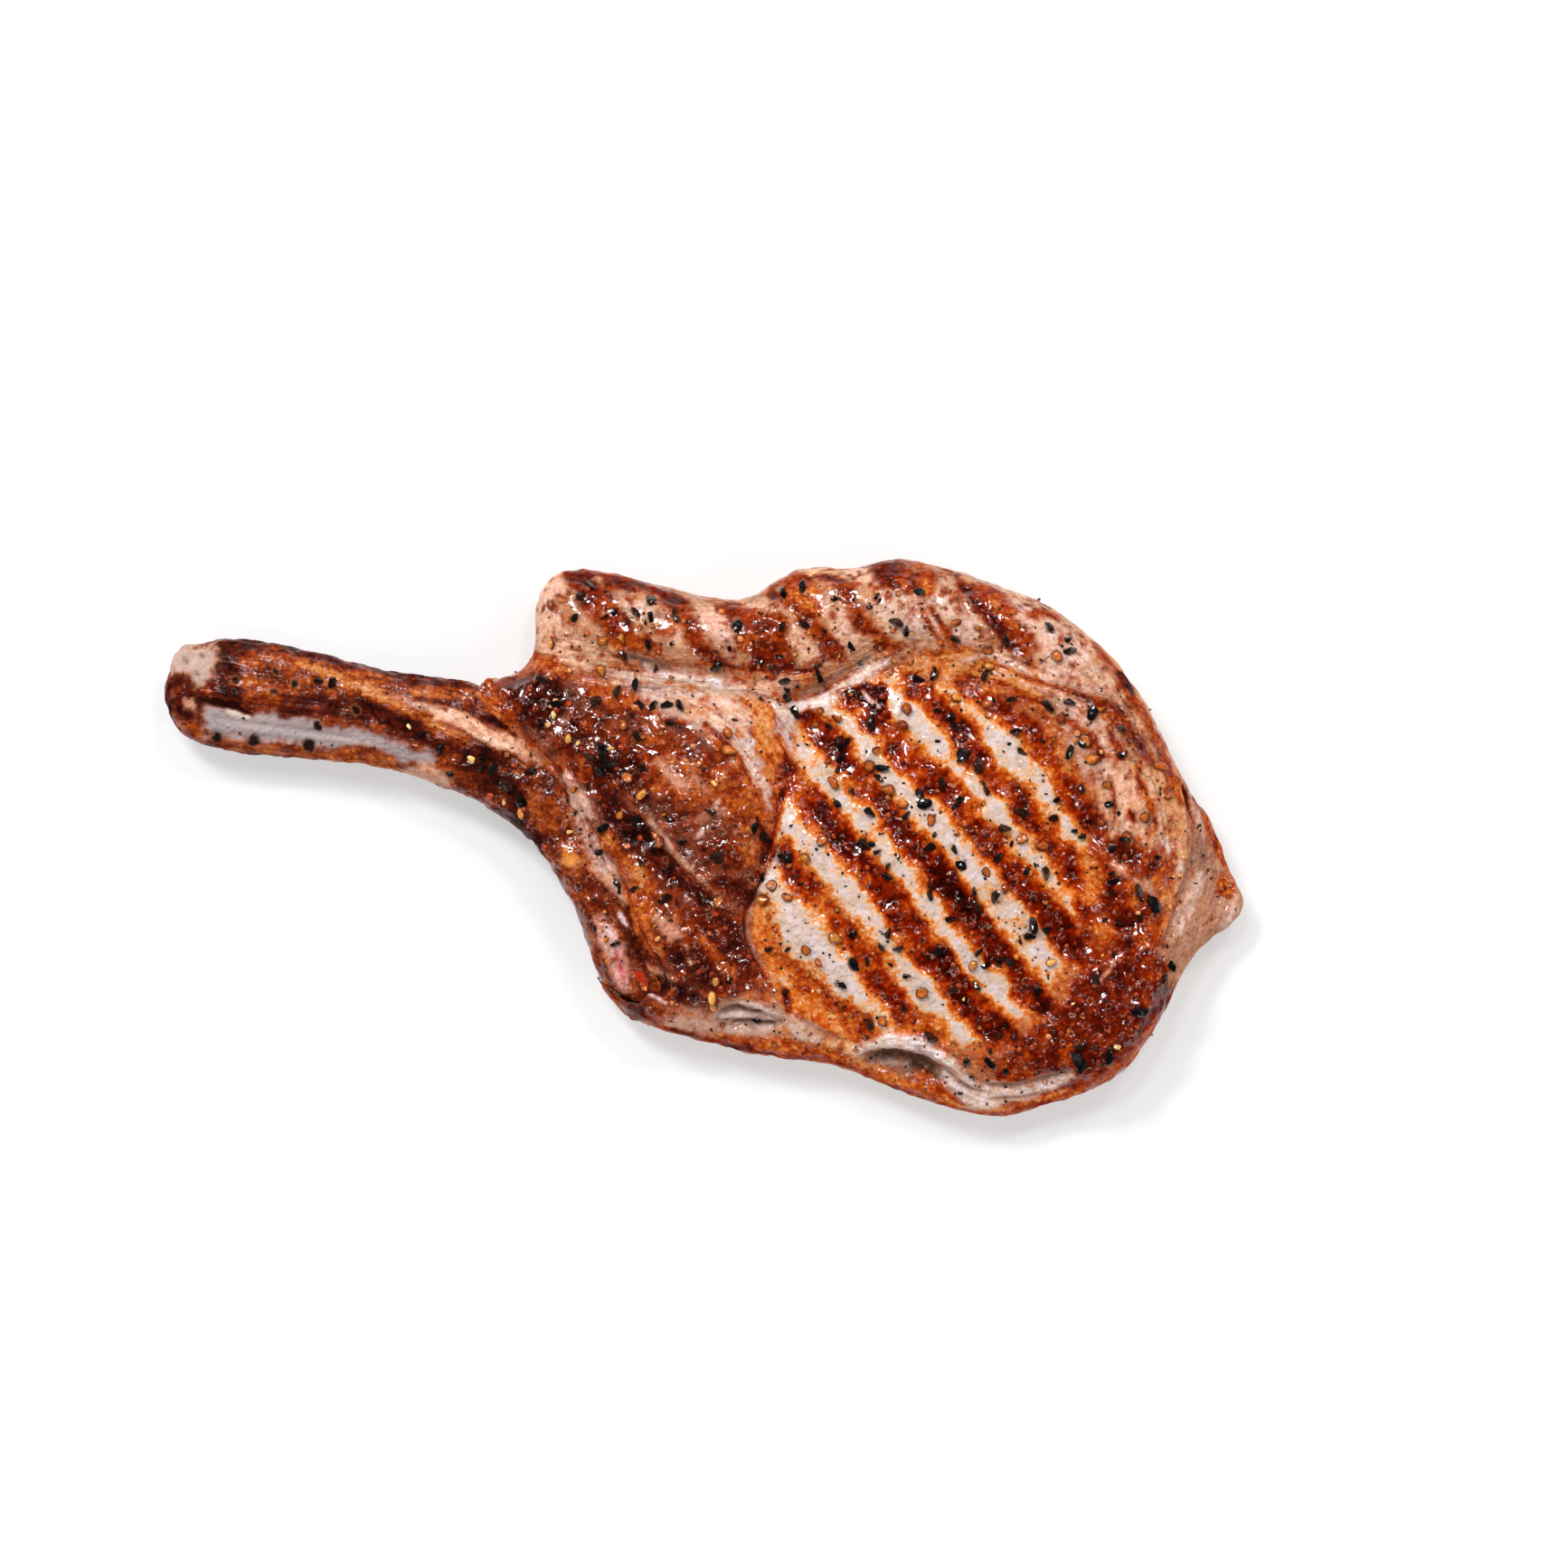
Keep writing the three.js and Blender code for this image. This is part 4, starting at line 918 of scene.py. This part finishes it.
# The bars' grooves across the eye: how deep the sear goes, and a line through the middle of the mark.
EYE_BARS = [
    (0.44, [(10.6, -14), (12.4, -19), (15, -24), (19, -28.6), (23, -32.4), (27.6, -36.6), (33, -40.6)]),
    (0.56, [(15.8, -3), (19, -7.4), (22, -11), (26, -15.6), (30, -20), (33, -24), (36.4, -29), (39.4, -33.6),
            (43, -37.6), (48, -42)]),
    (0.66, [(17.6, 14), (20, 10), (22.5, 7), (25, 3.6), (27.6, 0.4), (30, -2.6), (33, -6), (35.6, -9),
            (38.4, -13), (42, -18), (45, -22), (48, -25.4), (51, -29), (54, -33), (58, -37.4), (63, -42)]),
    (0.7, [(22.4, 24), (25, 21.4), (27.5, 18.4), (29.6, 15.4), (32, 12.6), (34, 10), (36.6, 7.2), (39, 4),
           (41.6, 1), (44, -1.6), (46.2, -5), (48.6, -8), (51, -11.4), (54, -14.6), (57, -18), (60, -22),
           (64, -26.4), (67.6, -31), (71.6, -35.6)]),
    (0.7, [(30, 28.6), (33, 27), (35.6, 24.4), (38, 21.6), (41, 19), (44, 16), (47, 13), (50, 10), (53, 7),
           (56, 3.4), (59, -0.4), (62, -4), (65, -8), (68, -12), (72, -16.4), (76, -20.4), (80, -25)]),
    (0.66, [(44, 32), (48, 28.6), (51, 25.4), (54, 21.4), (56.4, 17.6), (59, 14.4), (62.6, 11.6), (66, 7.6),
            (69, 3.4), (72, 0), (75.4, -4), (79, -8), (84, -13), (88, -17)]),
    (0.6, [(55, 32.4), (60, 28.4), (64, 25), (68, 21.4), (71.6, 17.6), (74, 14), (77, 9.4), (80, 5), (84, 0),
           (88, -3)]),
]
BAR_HALF, BAR_FRINGE = 2.85, 0.75  # half the width of a bar's mark, and the softness of its edge
BAR_DEPTH = 0.9
BAR_SPACING = 10.7
TURN_BELOW = math.radians(62)  # the bars' direction on the underside
BESIDE_HALF, BESIDE_FRINGE = 4.4, 0.8  # the paler browning on both sides of a bar
FLAP_START = 96  # the thin flap lies to the right of this
MIDDLE_HEIGHT = 7  # half way up the side

meat.dye(meat.whole, "B88560", sear=0.36, wet=0.6)
meat.clean += 0.4
meat.fatty[:] = 0.3
for outline, tint, sear, wet, clean, fatty in REGIONS:
    mask = meat.patch(outline, 1.4)
    meat.dye(mask, tint, sear=sear, wet=wet)
    meat.clean += (clean - meat.clean) * mask
    meat.fatty += (fatty - meat.fatty) * mask
meat.lay(BORDER)
meat.lay(CAP)
# The bare fat between the cap's marks is the palest.
pale = near(meat.clean * meat.patch(CAP_FAT, 2), 0.4, 0.8)
meat.tint *= 1 + pale[:, None] * (0.09, 0.18, 0.3)
meat.lay(SEAMS)
meat.lay(MUSCLE)

# Clean meat turns golden in patches, most along the bars.
in_eye = meat.patch(EYE, 1.6, 0.4)
golden = near(lumps(meat.place, 6, 51), 0.0, 1.0) * 0.13 + near(lumps(meat.place, 2.2, 52), 0.2, 1.0) * 0.1
meat.sear += golden * in_eye
uneven_bar = 0.16 * lumps(meat.place, 9, 53) + 0.1 * lumps(meat.place, 3, 54)
ragged = 0.7 * lumps(meat.place, 5, 55)
beside = 0.26 * near(lumps(meat.place, 7, 56), -0.3, 0.9)
for deepest, line in EYE_BARS:
    gap = meat.distance(smooth_run(line), 12) + meat.wander * 0.9 + ragged
    meat.brown(beside * in_eye / (1 + np.exp((gap - BESIDE_HALF) / BESIDE_FRINGE)))
    profile = 1 / (1 + np.exp((gap - BAR_HALF) / BAR_FRINGE))
    meat.brown(profile * (deepest + uneven_bar))
    meat.wet += (0.82 - meat.wet) * near(profile, 0.45, 0.9)
    meat.lift -= BAR_DEPTH * near(profile, 0.1, 0.95) * meat.top
for rows in (EYE_EDGE, RIGHT, BOTTOM, BAR_HEAD):
    meat.lay(rows)

# Loose lumps of browned fat and juice roughen everything but the clean meat.
rib_side = meat.patch(RIB_SIDE_MUSCLE, 2)
crusted = near(meat.sear, 0.15, 0.5) * (1 - meat.clean)
coarse = lumps(meat.place, 4.2, 61)
fine = lumps(meat.place, 1.7, 62)
fine_share = 0.04 + 0.07 * crusted + 0.03 * rib_side
meat.lift += (0.18 + 0.2 * crusted + 0.42 * rib_side) * coarse + fine_share * fine
meat.sear *= 1 - 0.14 * coarse - 0.16 * fine
meat.sear += rib_side * 0.12 * lumps(meat.place, 7, 66)
# Spots of browning lie all over the fat, and none on the eye, the flap or in the tears.
islands = near(lumps(meat.place, 2.4, 64) + 0.5 * lumps(meat.place, 0.9, 65), -0.2, 1.1) * (1 - in_eye)
islands *= 1 - near(meat.place[:, 0], FLAP_START, FLAP_START + 6)
for outline in TEARS:
    islands *= 1 - meat.patch(outline)
meat.clean *= 1 - 0.8 * islands

# Sides: pale cooked flesh and fat in the middle of the thickness, browned towards both faces.
up = meat.normal[:, 2]
side = (1 - near(up, -0.15, 0.18)) * (1 - near(-up, 0.4, 0.8))
middle = 1 - near(np.abs(meat.place[:, 2] - MIDDLE_HEIGHT), 1.5, 6)
streaks = lumps(meat.place * (1, 1, 0.35), 2.6, 63)
meat.dye(side, "C08A66", 0.55, wet=0.45)
meat.dye(side * middle, "CDA07E", 0.7)
meat.clean += (0.45 + 0.45 * middle + 0.3 * streaks - meat.clean) * side * 0.85
meat.sear += (0.52 - 0.1 * middle + 0.1 * streaks - meat.sear) * side * 0.8
# The rim of the top is seared darker, partly as browning and partly as painted shade along the outline, and
# dries.
rim = near(up, 0.05, 0.3) * (1 - near(up, 0.55, 0.8))
meat.sear += 0.13 * rim * (1 - near(meat.place[:, 0], FLAP_START, FLAP_START + 5))
meat.wet *= 1 - 0.45 * rim
# Underneath: marks of the same bars, crossing the other way.
turned = meat.place[:, 0] * math.sin(TURN_BELOW) + meat.place[:, 1] * math.cos(TURN_BELOW) + meat.wander
bars_below = np.abs((turned / BAR_SPACING) % 1 - 0.5) * 2
below = 0.3 + 0.5 * near(bars_below, 0.42, 0.72)
meat.sear += (below - meat.sear) * meat.under
meat.lift -= 0.4 * near(bars_below, 0.4, 0.75) * meat.under
for row in COMBED:
    meat.comb(*row)
meat.finish()
chop.data.materials.append(seared_flesh("Seared pork loin", dry=0.55, oily=0.22))
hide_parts("loin_meat")
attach(chop, "root")

# --------------------------------------------------------------------------------------------- cracked pepper
# Black peppercorns broken coarsely in a mill: angular black splinters of 1 to 4 mm and a few of 5 mm, and
# some halves of shell that show their brown hollow. They stick in the fat on the top and the sides, sunk in
# by a third.

SUNK = 0.3  # the share of a grain that lies below the surface
GRAIN_HALF = 0.75  # half a grain's height, as a share of its radius
GRAIN_TILT = 0.22  # how far from upright grains lie
TABLE_GAP = 0.02  # under the lowest grains


def grain_shapes(widths, height, divisions, cuts, seed, dent=0.0, rimmed=False):
    """Grains of unit radius, one for each width: a ball that is squashed, cut flat a few times and dented on
    top. Each comes with its faces and a mark on the corners of its hollow or, if rimmed, all but its top."""
    shapes = []
    for i, width in enumerate(widths):
        bpy.ops.mesh.primitive_ico_sphere_add(subdivisions=divisions, radius=1)
        ball = bpy.context.active_object
        corners = np.array([v.co for v in ball.data.vertices])
        faces = [tuple(f.vertices) for f in ball.data.polygons]
        bpy.data.objects.remove(ball)
        draw = np.random.default_rng(seed + i)
        mark = near(corners[:, 2], 0.35, 0.8) if dent else np.zeros(len(corners))
        if rimmed:
            mark = near(-corners[:, 2], -0.75, -0.25)
        for _ in range(cuts):
            way = draw.normal(size=3)
            way /= np.linalg.norm(way)
            over = np.maximum(corners @ way - draw.uniform(0.35, 0.75), 0)
            corners -= over[:, None] * way
        corners *= 1 + draw.uniform(-0.06, 0.06, len(corners))[:, None]
        corners[:, 2] -= dent * mark
        shapes.append((corners * (1, width, height), faces, mark))
    return shapes


def strew(name, shapes, spots, colours, marked, material, draw, smooth=False):
    """One mesh of many grains. Each spot is a corner's place and normal in mm with the grain's radius, and
    what a shape marks takes the marked colour."""
    corners, faces, tints = [], [], []
    count = 0
    for place, normal, radius in spots:
        shape, sides, mark = shapes[draw.integers(len(shapes))]
        turn = draw.uniform(0, 2 * math.pi)
        across = np.cross(normal, (math.cos(turn), math.sin(turn), 0.2))
        across /= np.linalg.norm(across)
        lean = normal + draw.normal(size=3) * GRAIN_TILT
        lean /= np.linalg.norm(lean)
        across -= (across @ lean) * lean
        across /= np.linalg.norm(across)
        basis = np.array([across, np.cross(lean, across), lean])
        placed = place + normal * radius * (GRAIN_HALF - 2 * SUNK * GRAIN_HALF) + shape * radius @ basis
        placed[:, 2] = np.maximum(placed[:, 2], TABLE_GAP)
        corners.append(placed * MM)
        faces += [tuple(i + count for i in side) for side in sides]
        count += len(shape)
        own = linear(colours[draw.integers(len(colours))]) * draw.uniform(0.8, 1.2)
        tints.append(own + mark[:, None] * (linear(marked) - own))
    mesh = bpy.data.meshes.new(name)
    mesh.from_pydata(np.vstack(corners).tolist(), [], faces)
    store_tint(mesh, np.vstack(tints))
    mesh.materials.append(material)
    if smooth:
        mesh.shade_smooth()
    piece = new_object(name, mesh)
    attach(piece, "root")


def spice(name, roughness, speck, coat=0.6, uneven=0.3):
    """A grain's own colour, darker and lighter in specks of that size in mm, wetted by the fat it lies in."""
    material, tree = blank_material(name)
    place = add(tree, "TexCoord", output="Object")
    tint = add(tree, "Attribute", output="Color", attribute_name="tint")
    grain = add(tree, "TexNoise", {"Vector": place, "Scale": 1 / (speck * MM), "Detail": 2.0})
    shade = add(tree, "MapRange", [grain, 0.3, 0.7, 1 - uneven, 1 + uneven])
    colour = add(tree, "VectorMath", {0: tint, "Scale": shade}, operation="SCALE")
    bump = add(tree, "Bump", {"Height": grain, "Strength": 0.7, "Distance": 0.12 * MM})
    shader = add(tree, "BsdfPrincipled", {
        "Base Color": colour, "Roughness": roughness, "Normal": bump, "Specular IOR Level": 0.1,
        "Coat Weight": coat, "Coat Roughness": 0.08,
    })
    add(tree, "OutputMaterial", {"Surface": shader})
    return material


# The finished surface that the grains lie on, of the meat and then of the bone.
grounds = zip(meat.ground(), bone.ground())
GROUND, GROUND_NORMAL, GROUND_WET, GROUND_SEAR = [np.concatenate(both) for both in grounds]
GROUND_TOP = GROUND_NORMAL[:, 2] > 0.75
GROUND_SIDE = (np.abs(GROUND_NORMAL[:, 2] + 0.35) < 0.3) & (GROUND[:, 2] > 1.5)


def spot_at(x, y, radius):
    """The top surface's nearest corner to a point, as a spot for a grain."""
    gap = np.hypot(GROUND[:, 0] - x, GROUND[:, 1] - y) + np.where(GROUND_TOP, 0, 50)
    i = int(np.argmin(gap))
    return GROUND[i], GROUND_NORMAL[i], radius


def right_of(x, rest=0.0):
    """1 at corners to the right of x, and the rest's smaller weight along the handle to its left."""
    return np.where(GROUND[:, 0] > x, 1.0, rest)


def spots_anywhere(count, radii, draw, weight):
    """Random spots, more of them where the weight at a corner is high."""
    chosen = draw.choice(len(GROUND), count, replace=False, p=weight / weight.sum())
    return [(GROUND[i], GROUND_NORMAL[i], draw.uniform(*radii)) for i in chosen]


# Where the larger splinters and shells lie. A big one comes with its radius.
PEPPER = [
    (-26, 50.5), (-24, 52.5), (-14.5, 47), (-11.5, 49.3), (-11.5, 45.7), (-27, 46), (-16.8, 38), (-12, 40.5),
    (2.7, 36), (12, 36.3), (7, 44), (16.5, 44.4), (20.5, 44.2), (14.3, 52), (20.6, 52.3), (30.7, 39.8),
    (42.3, 43), (40, 44.7), (44.6, 51), (52.5, 41.5), (63.2, 41), (76, 41.5), (76, 39), (71.8, 43.7),
    (24, 33.5), (16.6, 32.6), (17.3, 28.7), (18.7, 26), (48, 33.7), (44.6, 33.2), (58.6, 33.8), (51.5, 24.8),
    (52, 23.5), (34.8, 23.8), (64, 29), (71.8, 27), (76.2, 28.5), (80.8, 25.7), (64.5, 21.9), (66.2, 17.8),
    (76, 17.8), (78.7, 19.6), (87, 17.5), (28.5, 19.5), (28.3, 16.5), (37.3, 14.4), (36.5, 12.3), (30.5, 9.5),
    (28, 7), (34.5, 5), (42, 4.5), (46, 6.8), (44.7, 9), (49.7, 11.3), (53.6, 16.5), (57, 15), (53, 7.5),
    (34, -1.5), (36, -3), (47, -2), (53.5, -5.8), (51.7, -2.6), (38.3, -7.8), (47.3, -10.2), (47.3, -12.2),
    (56.2, -11), (57.5, -14.3), (58.8, 9.5), (62.3, 1.8), (61, -4), (61, -12.5), (66.5, 4.8), (73, 3.8),
    (73.2, 8), (78.7, 9.9), (84.5, 7), (79, 0), (67.5, -6.7), (71.2, -7.5), (71, -19.5), (67.7, -20.5),
    (88, -0.5), (85.4, -9.3), (90.3, -11), (91, -16.7), (12.5, 0), (10.5, 2), (3, -4.3), (1.7, 5.5),
    (-7.3, 3.5), (-4.7, -1), (12, -8.5), (16.8, -4.2), (-8.5, -13), (-14.7, -10.5), (-16.5, -14.3),
    (-18.5, -22.5), (16.7, -32.3), (28.5, -31), (30.8, -20.3), (38, -20), (40.6, -23.2), (37.3, -22.8),
    (51.2, -17), (48.7, -23.8), (57, -24), (34, -25.8), (31, -26.5), (42, -28.7), (56.7, -30.8),
    (58.7, -26.5), (63.6, -25.8), (61, -25.8), (51.7, -31.5), (35, -39), (46.8, -41.8), (54.5, -47),
    (59.8, -47), (78, -43.5), (82, -30), (99.2, -27.5), (97.5, -30.5), (-34, 32.7), (-31, 28), (-23, 28.5),
    (-18.5, 30.5), (-14.5, 31.8), (-13.5, 27.7), (-10.5, 27.2), (-7.8, 27.5), (-5, 27), (-7.5, 23.7),
    (-24, 17), (-21, 18.6), (-19, 15), (-22, 14), (-14, 21), (-44.5, 14.3), (-41.5, 11), (-36.3, 13.5),
    (-38, 7.5), (-21.3, 2), (-14, 3.5), (-46.5, 14.5), (-59.2, 22), (-55.3, 18), (-78, 32), (-81, 32.7),
]
BIG_PEPPER = [
    (77.5, -46.3, 2.6), (84.5, -45.5, 2.4), (93.5, -14, 2.4), (68.7, -18.3, 2.2), (90.8, -36, 2.1),
    (-41, 11, 2.3), (-20.6, 16, 2.5), (34.9, 23.9, 2.1), (28.6, 19.4, 2.0), (57, 15.2, 2.1),
    (53.4, 16.6, 2.0), (66.4, 5, 2.0),
]
SHELLS = [
    (58.3, -7.5), (14, -10), (17.2, -12.3), (21.2, -23.2), (37, -38.3), (45.5, -32.5), (73.3, 37.7),
    (91.5, 4.3), (46.8, 3.4), (34.6, 15), (-16, 12.6), (66, -0.4), (79.4, 19.8), (88.4, 0), (84, 10.6),
    (59.2, 39.2), (3.2, -13.4), (24.6, -0.6),
]

draw = np.random.default_rng(71)
splinters = grain_shapes((0.9, 0.75, 0.6, 0.85, 0.5, 0.7, 0.8, 0.65), 0.75, divisions=2, cuts=8, seed=710)
halves = grain_shapes((0.85,) * 4, 0.75, divisions=2, cuts=2, seed=730, dent=0.75)
# Broken peppercorn is nearly black, with glossy facets where fat wets it.
peppery = spice("Cracked black peppercorn", roughness=0.3, speck=0.4, coat=0.8, uneven=0.5)
spots = [spot_at(x, y, draw.uniform(1.2, 1.9)) for x, y in PEPPER] + [spot_at(*spot) for spot in BIG_PEPPER]
spots += spots_anywhere(110, (0.5, 1.15), draw, GROUND_TOP * (0.2 + GROUND_WET) * right_of(-55))
spots += spots_anywhere(10, (0.5, 0.8), draw, GROUND_SIDE * right_of(-45))
strew("cracked_pepper", splinters, spots, ["0E0B0B", "130E0D", "0A0809", "24130D"], "24130D", peppery, draw)
spots = [spot_at(x, y, draw.uniform(1.25, 1.6)) for x, y in SHELLS]
spots += spots_anywhere(60, (0.6, 0.95), draw, GROUND_TOP * (GROUND_WET > 0.5) * right_of(-50))
strew("pepper_shells", halves, spots, ["2A1510", "3A1A10", "1D100E"], "A8561F", peppery, draw, smooth=True)

# ------------------------------------------------------------------------------------------------ pepper dust
# The fine part of the grind: black, brown and rust-red specks under 1 mm, pressed flat on the crust, thickest
# where it is wet. They are drawn a little coarser than the finest real dust.

draw = np.random.default_rng(75)
flakes = grain_shapes((0.9, 0.7, 0.5, 0.8, 0.6), 0.55, divisions=1, cuts=3, seed=750)
# Ground pepper is dull and dark.
dusty = spice("Ground pepper", roughness=0.5, speck=0.3, coat=0.3)
spots = spots_anywhere(1500, (0.18, 0.5), draw, GROUND_TOP * (0.3 + GROUND_WET) * right_of(-50, rest=0.25))
spots += spots_anywhere(220, (0.14, 0.3), draw, GROUND_SIDE * right_of(-45, rest=0.3))
strew("pepper_dust", flakes, spots, ["14100F", "1A1110", "2A140E", "40180C", "6A250C"], "14100F", dusty, draw)

# ------------------------------------------------------------------------------------------------------ seeds
# Yellow mustard seeds that the grill has browned, whole and a little flattened, 2.3 to 3.4 mm across, with a
# few smaller ones. They sit in the browned fat, sunk in by a third, with a dark rim of it round them.

SEEDS = [
    (-33.9, 48.9), (-31.8, 40.3), (-21.2, 47), (-17.2, 41.8), (-21.3, 41), (-21.7, 34.8), (-16.7, 23.2),
    (-28.6, 20.8), (-38.3, 4.8), (-17.2, 4.8), (-9.2, -0.8), (-13.6, 9), (4.8, 21.5), (5, 18), (27.8, 25.2),
    (41.8, 26.8), (41.5, 23.5), (52.6, 44.8), (59.4, 27.5), (59.7, 35.7), (52.3, 28.8), (74.5, 25),
    (82.8, 26.8), (81, 16.2), (94.7, 14.3), (96.7, 8.3), (27, 11.2), (36, 18), (38.3, 10), (41.7, 6.8),
    (12.5, -13), (23.8, -26), (27, -21.5), (55.6, -26.7), (72.6, -26.3), (2.5, -30), (2, -33.5), (1.7, -35),
    (-12, -37), (21, -4.3), (62.4, -11), (70, -2),
]
draw = np.random.default_rng(81)
rounds = grain_shapes((0.95, 0.8, 0.7, 0.6), 0.65, divisions=3, cuts=3, seed=810, rimmed=True)
# A seed's skin is smooth and waxy, and shines all over.
waxy = spice("Mustard seed skin", roughness=0.25, speck=0.7, coat=1.0)
spots = [spot_at(x, y, draw.uniform(1.15, 1.7)) for x, y in SEEDS]
spots += spots_anywhere(16, (0.55, 0.85), draw, GROUND_TOP * right_of(-50))
OCHRE_TO_RUST = ["B8762E", "C48C42", "A85C1E", "944818", "7E3214"]
strew("mustard_seeds", rounds, spots, OCHRE_TO_RUST, "5A1E0A", waxy, draw, smooth=True)

# --------------------------------------------------------------------------------------------- drops of juice
# Juice and fat that boiled up through the crust and set, in glossy drops of 0.8 to 1.7 mm: dark red on the
# dark crust and amber on the paler one.

draw = np.random.default_rng(85)
drops = grain_shapes((0.95, 0.8, 0.7), 0.7, divisions=2, cuts=0, seed=850)
# Both set hard and clear, and shine like varnish.
dark, amber = [spice(name, roughness=0.2, speck=0.8, coat=1.0) for name in ("Set meat juice", "Set fat")]
crusty = GROUND_TOP * near(GROUND_WET, 0.45, 0.8) * right_of(-48)
seared = GROUND_SEAR >= 0.55
spots = spots_anywhere(330, (0.4, 0.85), draw, crusty * seared)
DARK_REDS = ["5A1408", "74200C", "8C3010", "421010"]
strew("dark_juice_drops", drops, spots, DARK_REDS, "8C3010", dark, draw, smooth=True)
spots = spots_anywhere(120, (0.4, 0.75), draw, crusty * ~seared)
AMBERS = ["A4491A", "B4602A", "94381A", "BF7A4C"]
strew("amber_juice_drops", drops, spots, AMBERS, "BF7A4C", amber, draw, smooth=True)

# ---------------------------------------------------------------------------------------------- garlic crumbs
# Dried garlic: tan chips of 1.3 to 1.9 mm and smaller crumbs, toasted on the grill. Most lie where the dark
# muscle meets the rib.

GARLIC = [
    (-32.6, 23.6), (-31.5, 25.8), (-31, 28.5), (-26, 19.5), (-19.8, 18.5), (-21, 16.5), (-42, 7.5),
    (-48.8, 16.3), (-28.3, 1), (2, 11.3), (-61.8, 23.3), (-49, 16), (86.3, -43.8),
]
draw = np.random.default_rng(91)
chips = grain_shapes((0.9, 0.7, 0.8), 0.6, divisions=2, cuts=4, seed=910)
# Dried garlic is pale and waxy, with little shine.
toasted = spice("Dried garlic", roughness=0.45, speck=0.7)
spots = [spot_at(x, y, draw.uniform(0.65, 0.95)) for x, y in GARLIC]
spots += spots_anywhere(14, (0.25, 0.5), draw, GROUND_TOP * right_of(-50))
strew("garlic_crumbs", chips, spots, ["D6A45C", "C8904C", "DEB67C"], "DDB77C", toasted, draw)

# --------------------------------------------------------------------------------------- table, light, camera
# A pale matt table top that glows a little, as a light table does, which keeps the shadow faint. Broad soft
# lamps stand round it, none of them straight above, so that only tilted wet facets glint.

PICTURE = 1734  # pixels, both ways
PIXEL = 0.19 * MM  # on the chop
OBJECT_COLUMN, OBJECT_ROW = 779.7, 925.7  # the pixel over the chop's origin
LENS, SENSOR = 200.0, 36.0
EDGE_HEIGHT = 6 * MM  # where the chop is widest
TABLE_SIZE = 6
EXPOSURE = 0.06
# A ring of soft light half way up, dim at the horizon and nearly dark overhead: height against brightness.
RING = ((0.0, 0.5), (0.5, 1.0), (0.78, 0.015))
RING_STRENGTH = 1.8
# Lamps aimed at the chop: place and size in metres, watts, and whether it glints. One that doesn't is a big
# soft one seen through a polariser.
LAMPS = [
    ("softbox", (-1.5, 2.2, 3.0), (3.2, 2.4), 24, False),
    ("left strip", (-1.3, 1.8, 2.5), (0.7, 0.35), 58, True),
    ("right strip", (0.9, 1.7, 2.4), (0.45, 0.3), 20, True),
    ("high lamp", (-0.45, 1.15, 2.5), (0.4, 0.4), 17, True),
    ("front strip", (1.9, -1.2, 2.5), (0.45, 0.3), 12, True),
]

bpy.ops.mesh.primitive_plane_add(size=TABLE_SIZE)
table = bpy.context.active_object
table.name = "table_top"
paint, tree = blank_material("Matt white light table")
surface = add(tree, "BsdfPrincipled", {
    "Base Color": (*linear("A9A9A9"), 1), "Roughness": 0.8,
    "Emission Color": (1, 1, 1, 1), "Emission Strength": 0.4,
})
add(tree, "OutputMaterial", {"Surface": surface})
table.data.materials.append(paint)

world = bpy.data.worlds.new("Studio")
bpy.context.scene.world = world
world.use_nodes = True
tree = world.node_tree
tree.nodes.clear()
height = add(tree, "SeparateXYZ", [add(tree, "TexCoord", output="Generated")], "Z")
glow = add(tree, "ValToRGB", [height])
glow.node.color_ramp.elements.new(0.5)
for stop, (position, level) in zip(glow.node.color_ramp.elements, RING):
    stop.position = position
    stop.color = (level, level, level, 1)
add(tree, "OutputWorld", {"Surface": add(tree, "Background", {"Color": glow, "Strength": RING_STRENGTH})})
# It fills the shadows, and only the lamps glint.
world.cycles_visibility.glossy = False

for name, place, size, power, glints in LAMPS:
    light = bpy.data.lights.new(name, "AREA")
    light.shape = "RECTANGLE"
    light.size, light.size_y = size
    light.energy = power
    holder = new_object(name, light)
    holder.location = place
    holder.rotation_euler = (-Vector(place)).to_track_quat("-Z", "Y").to_euler()
    holder.visible_glossy = glints

camera = bpy.data.cameras.new("camera")
camera.lens = LENS
camera.sensor_width = SENSOR
viewer = new_object("camera", camera)
viewer.location = (
    (PICTURE / 2 - OBJECT_COLUMN) * PIXEL,
    (OBJECT_ROW - PICTURE / 2) * PIXEL,
    EDGE_HEIGHT + PICTURE * PIXEL * LENS / SENSOR,
)
bpy.context.scene.camera = viewer
bpy.context.scene.view_settings.view_transform = "Standard"
bpy.context.scene.view_settings.exposure = EXPOSURE
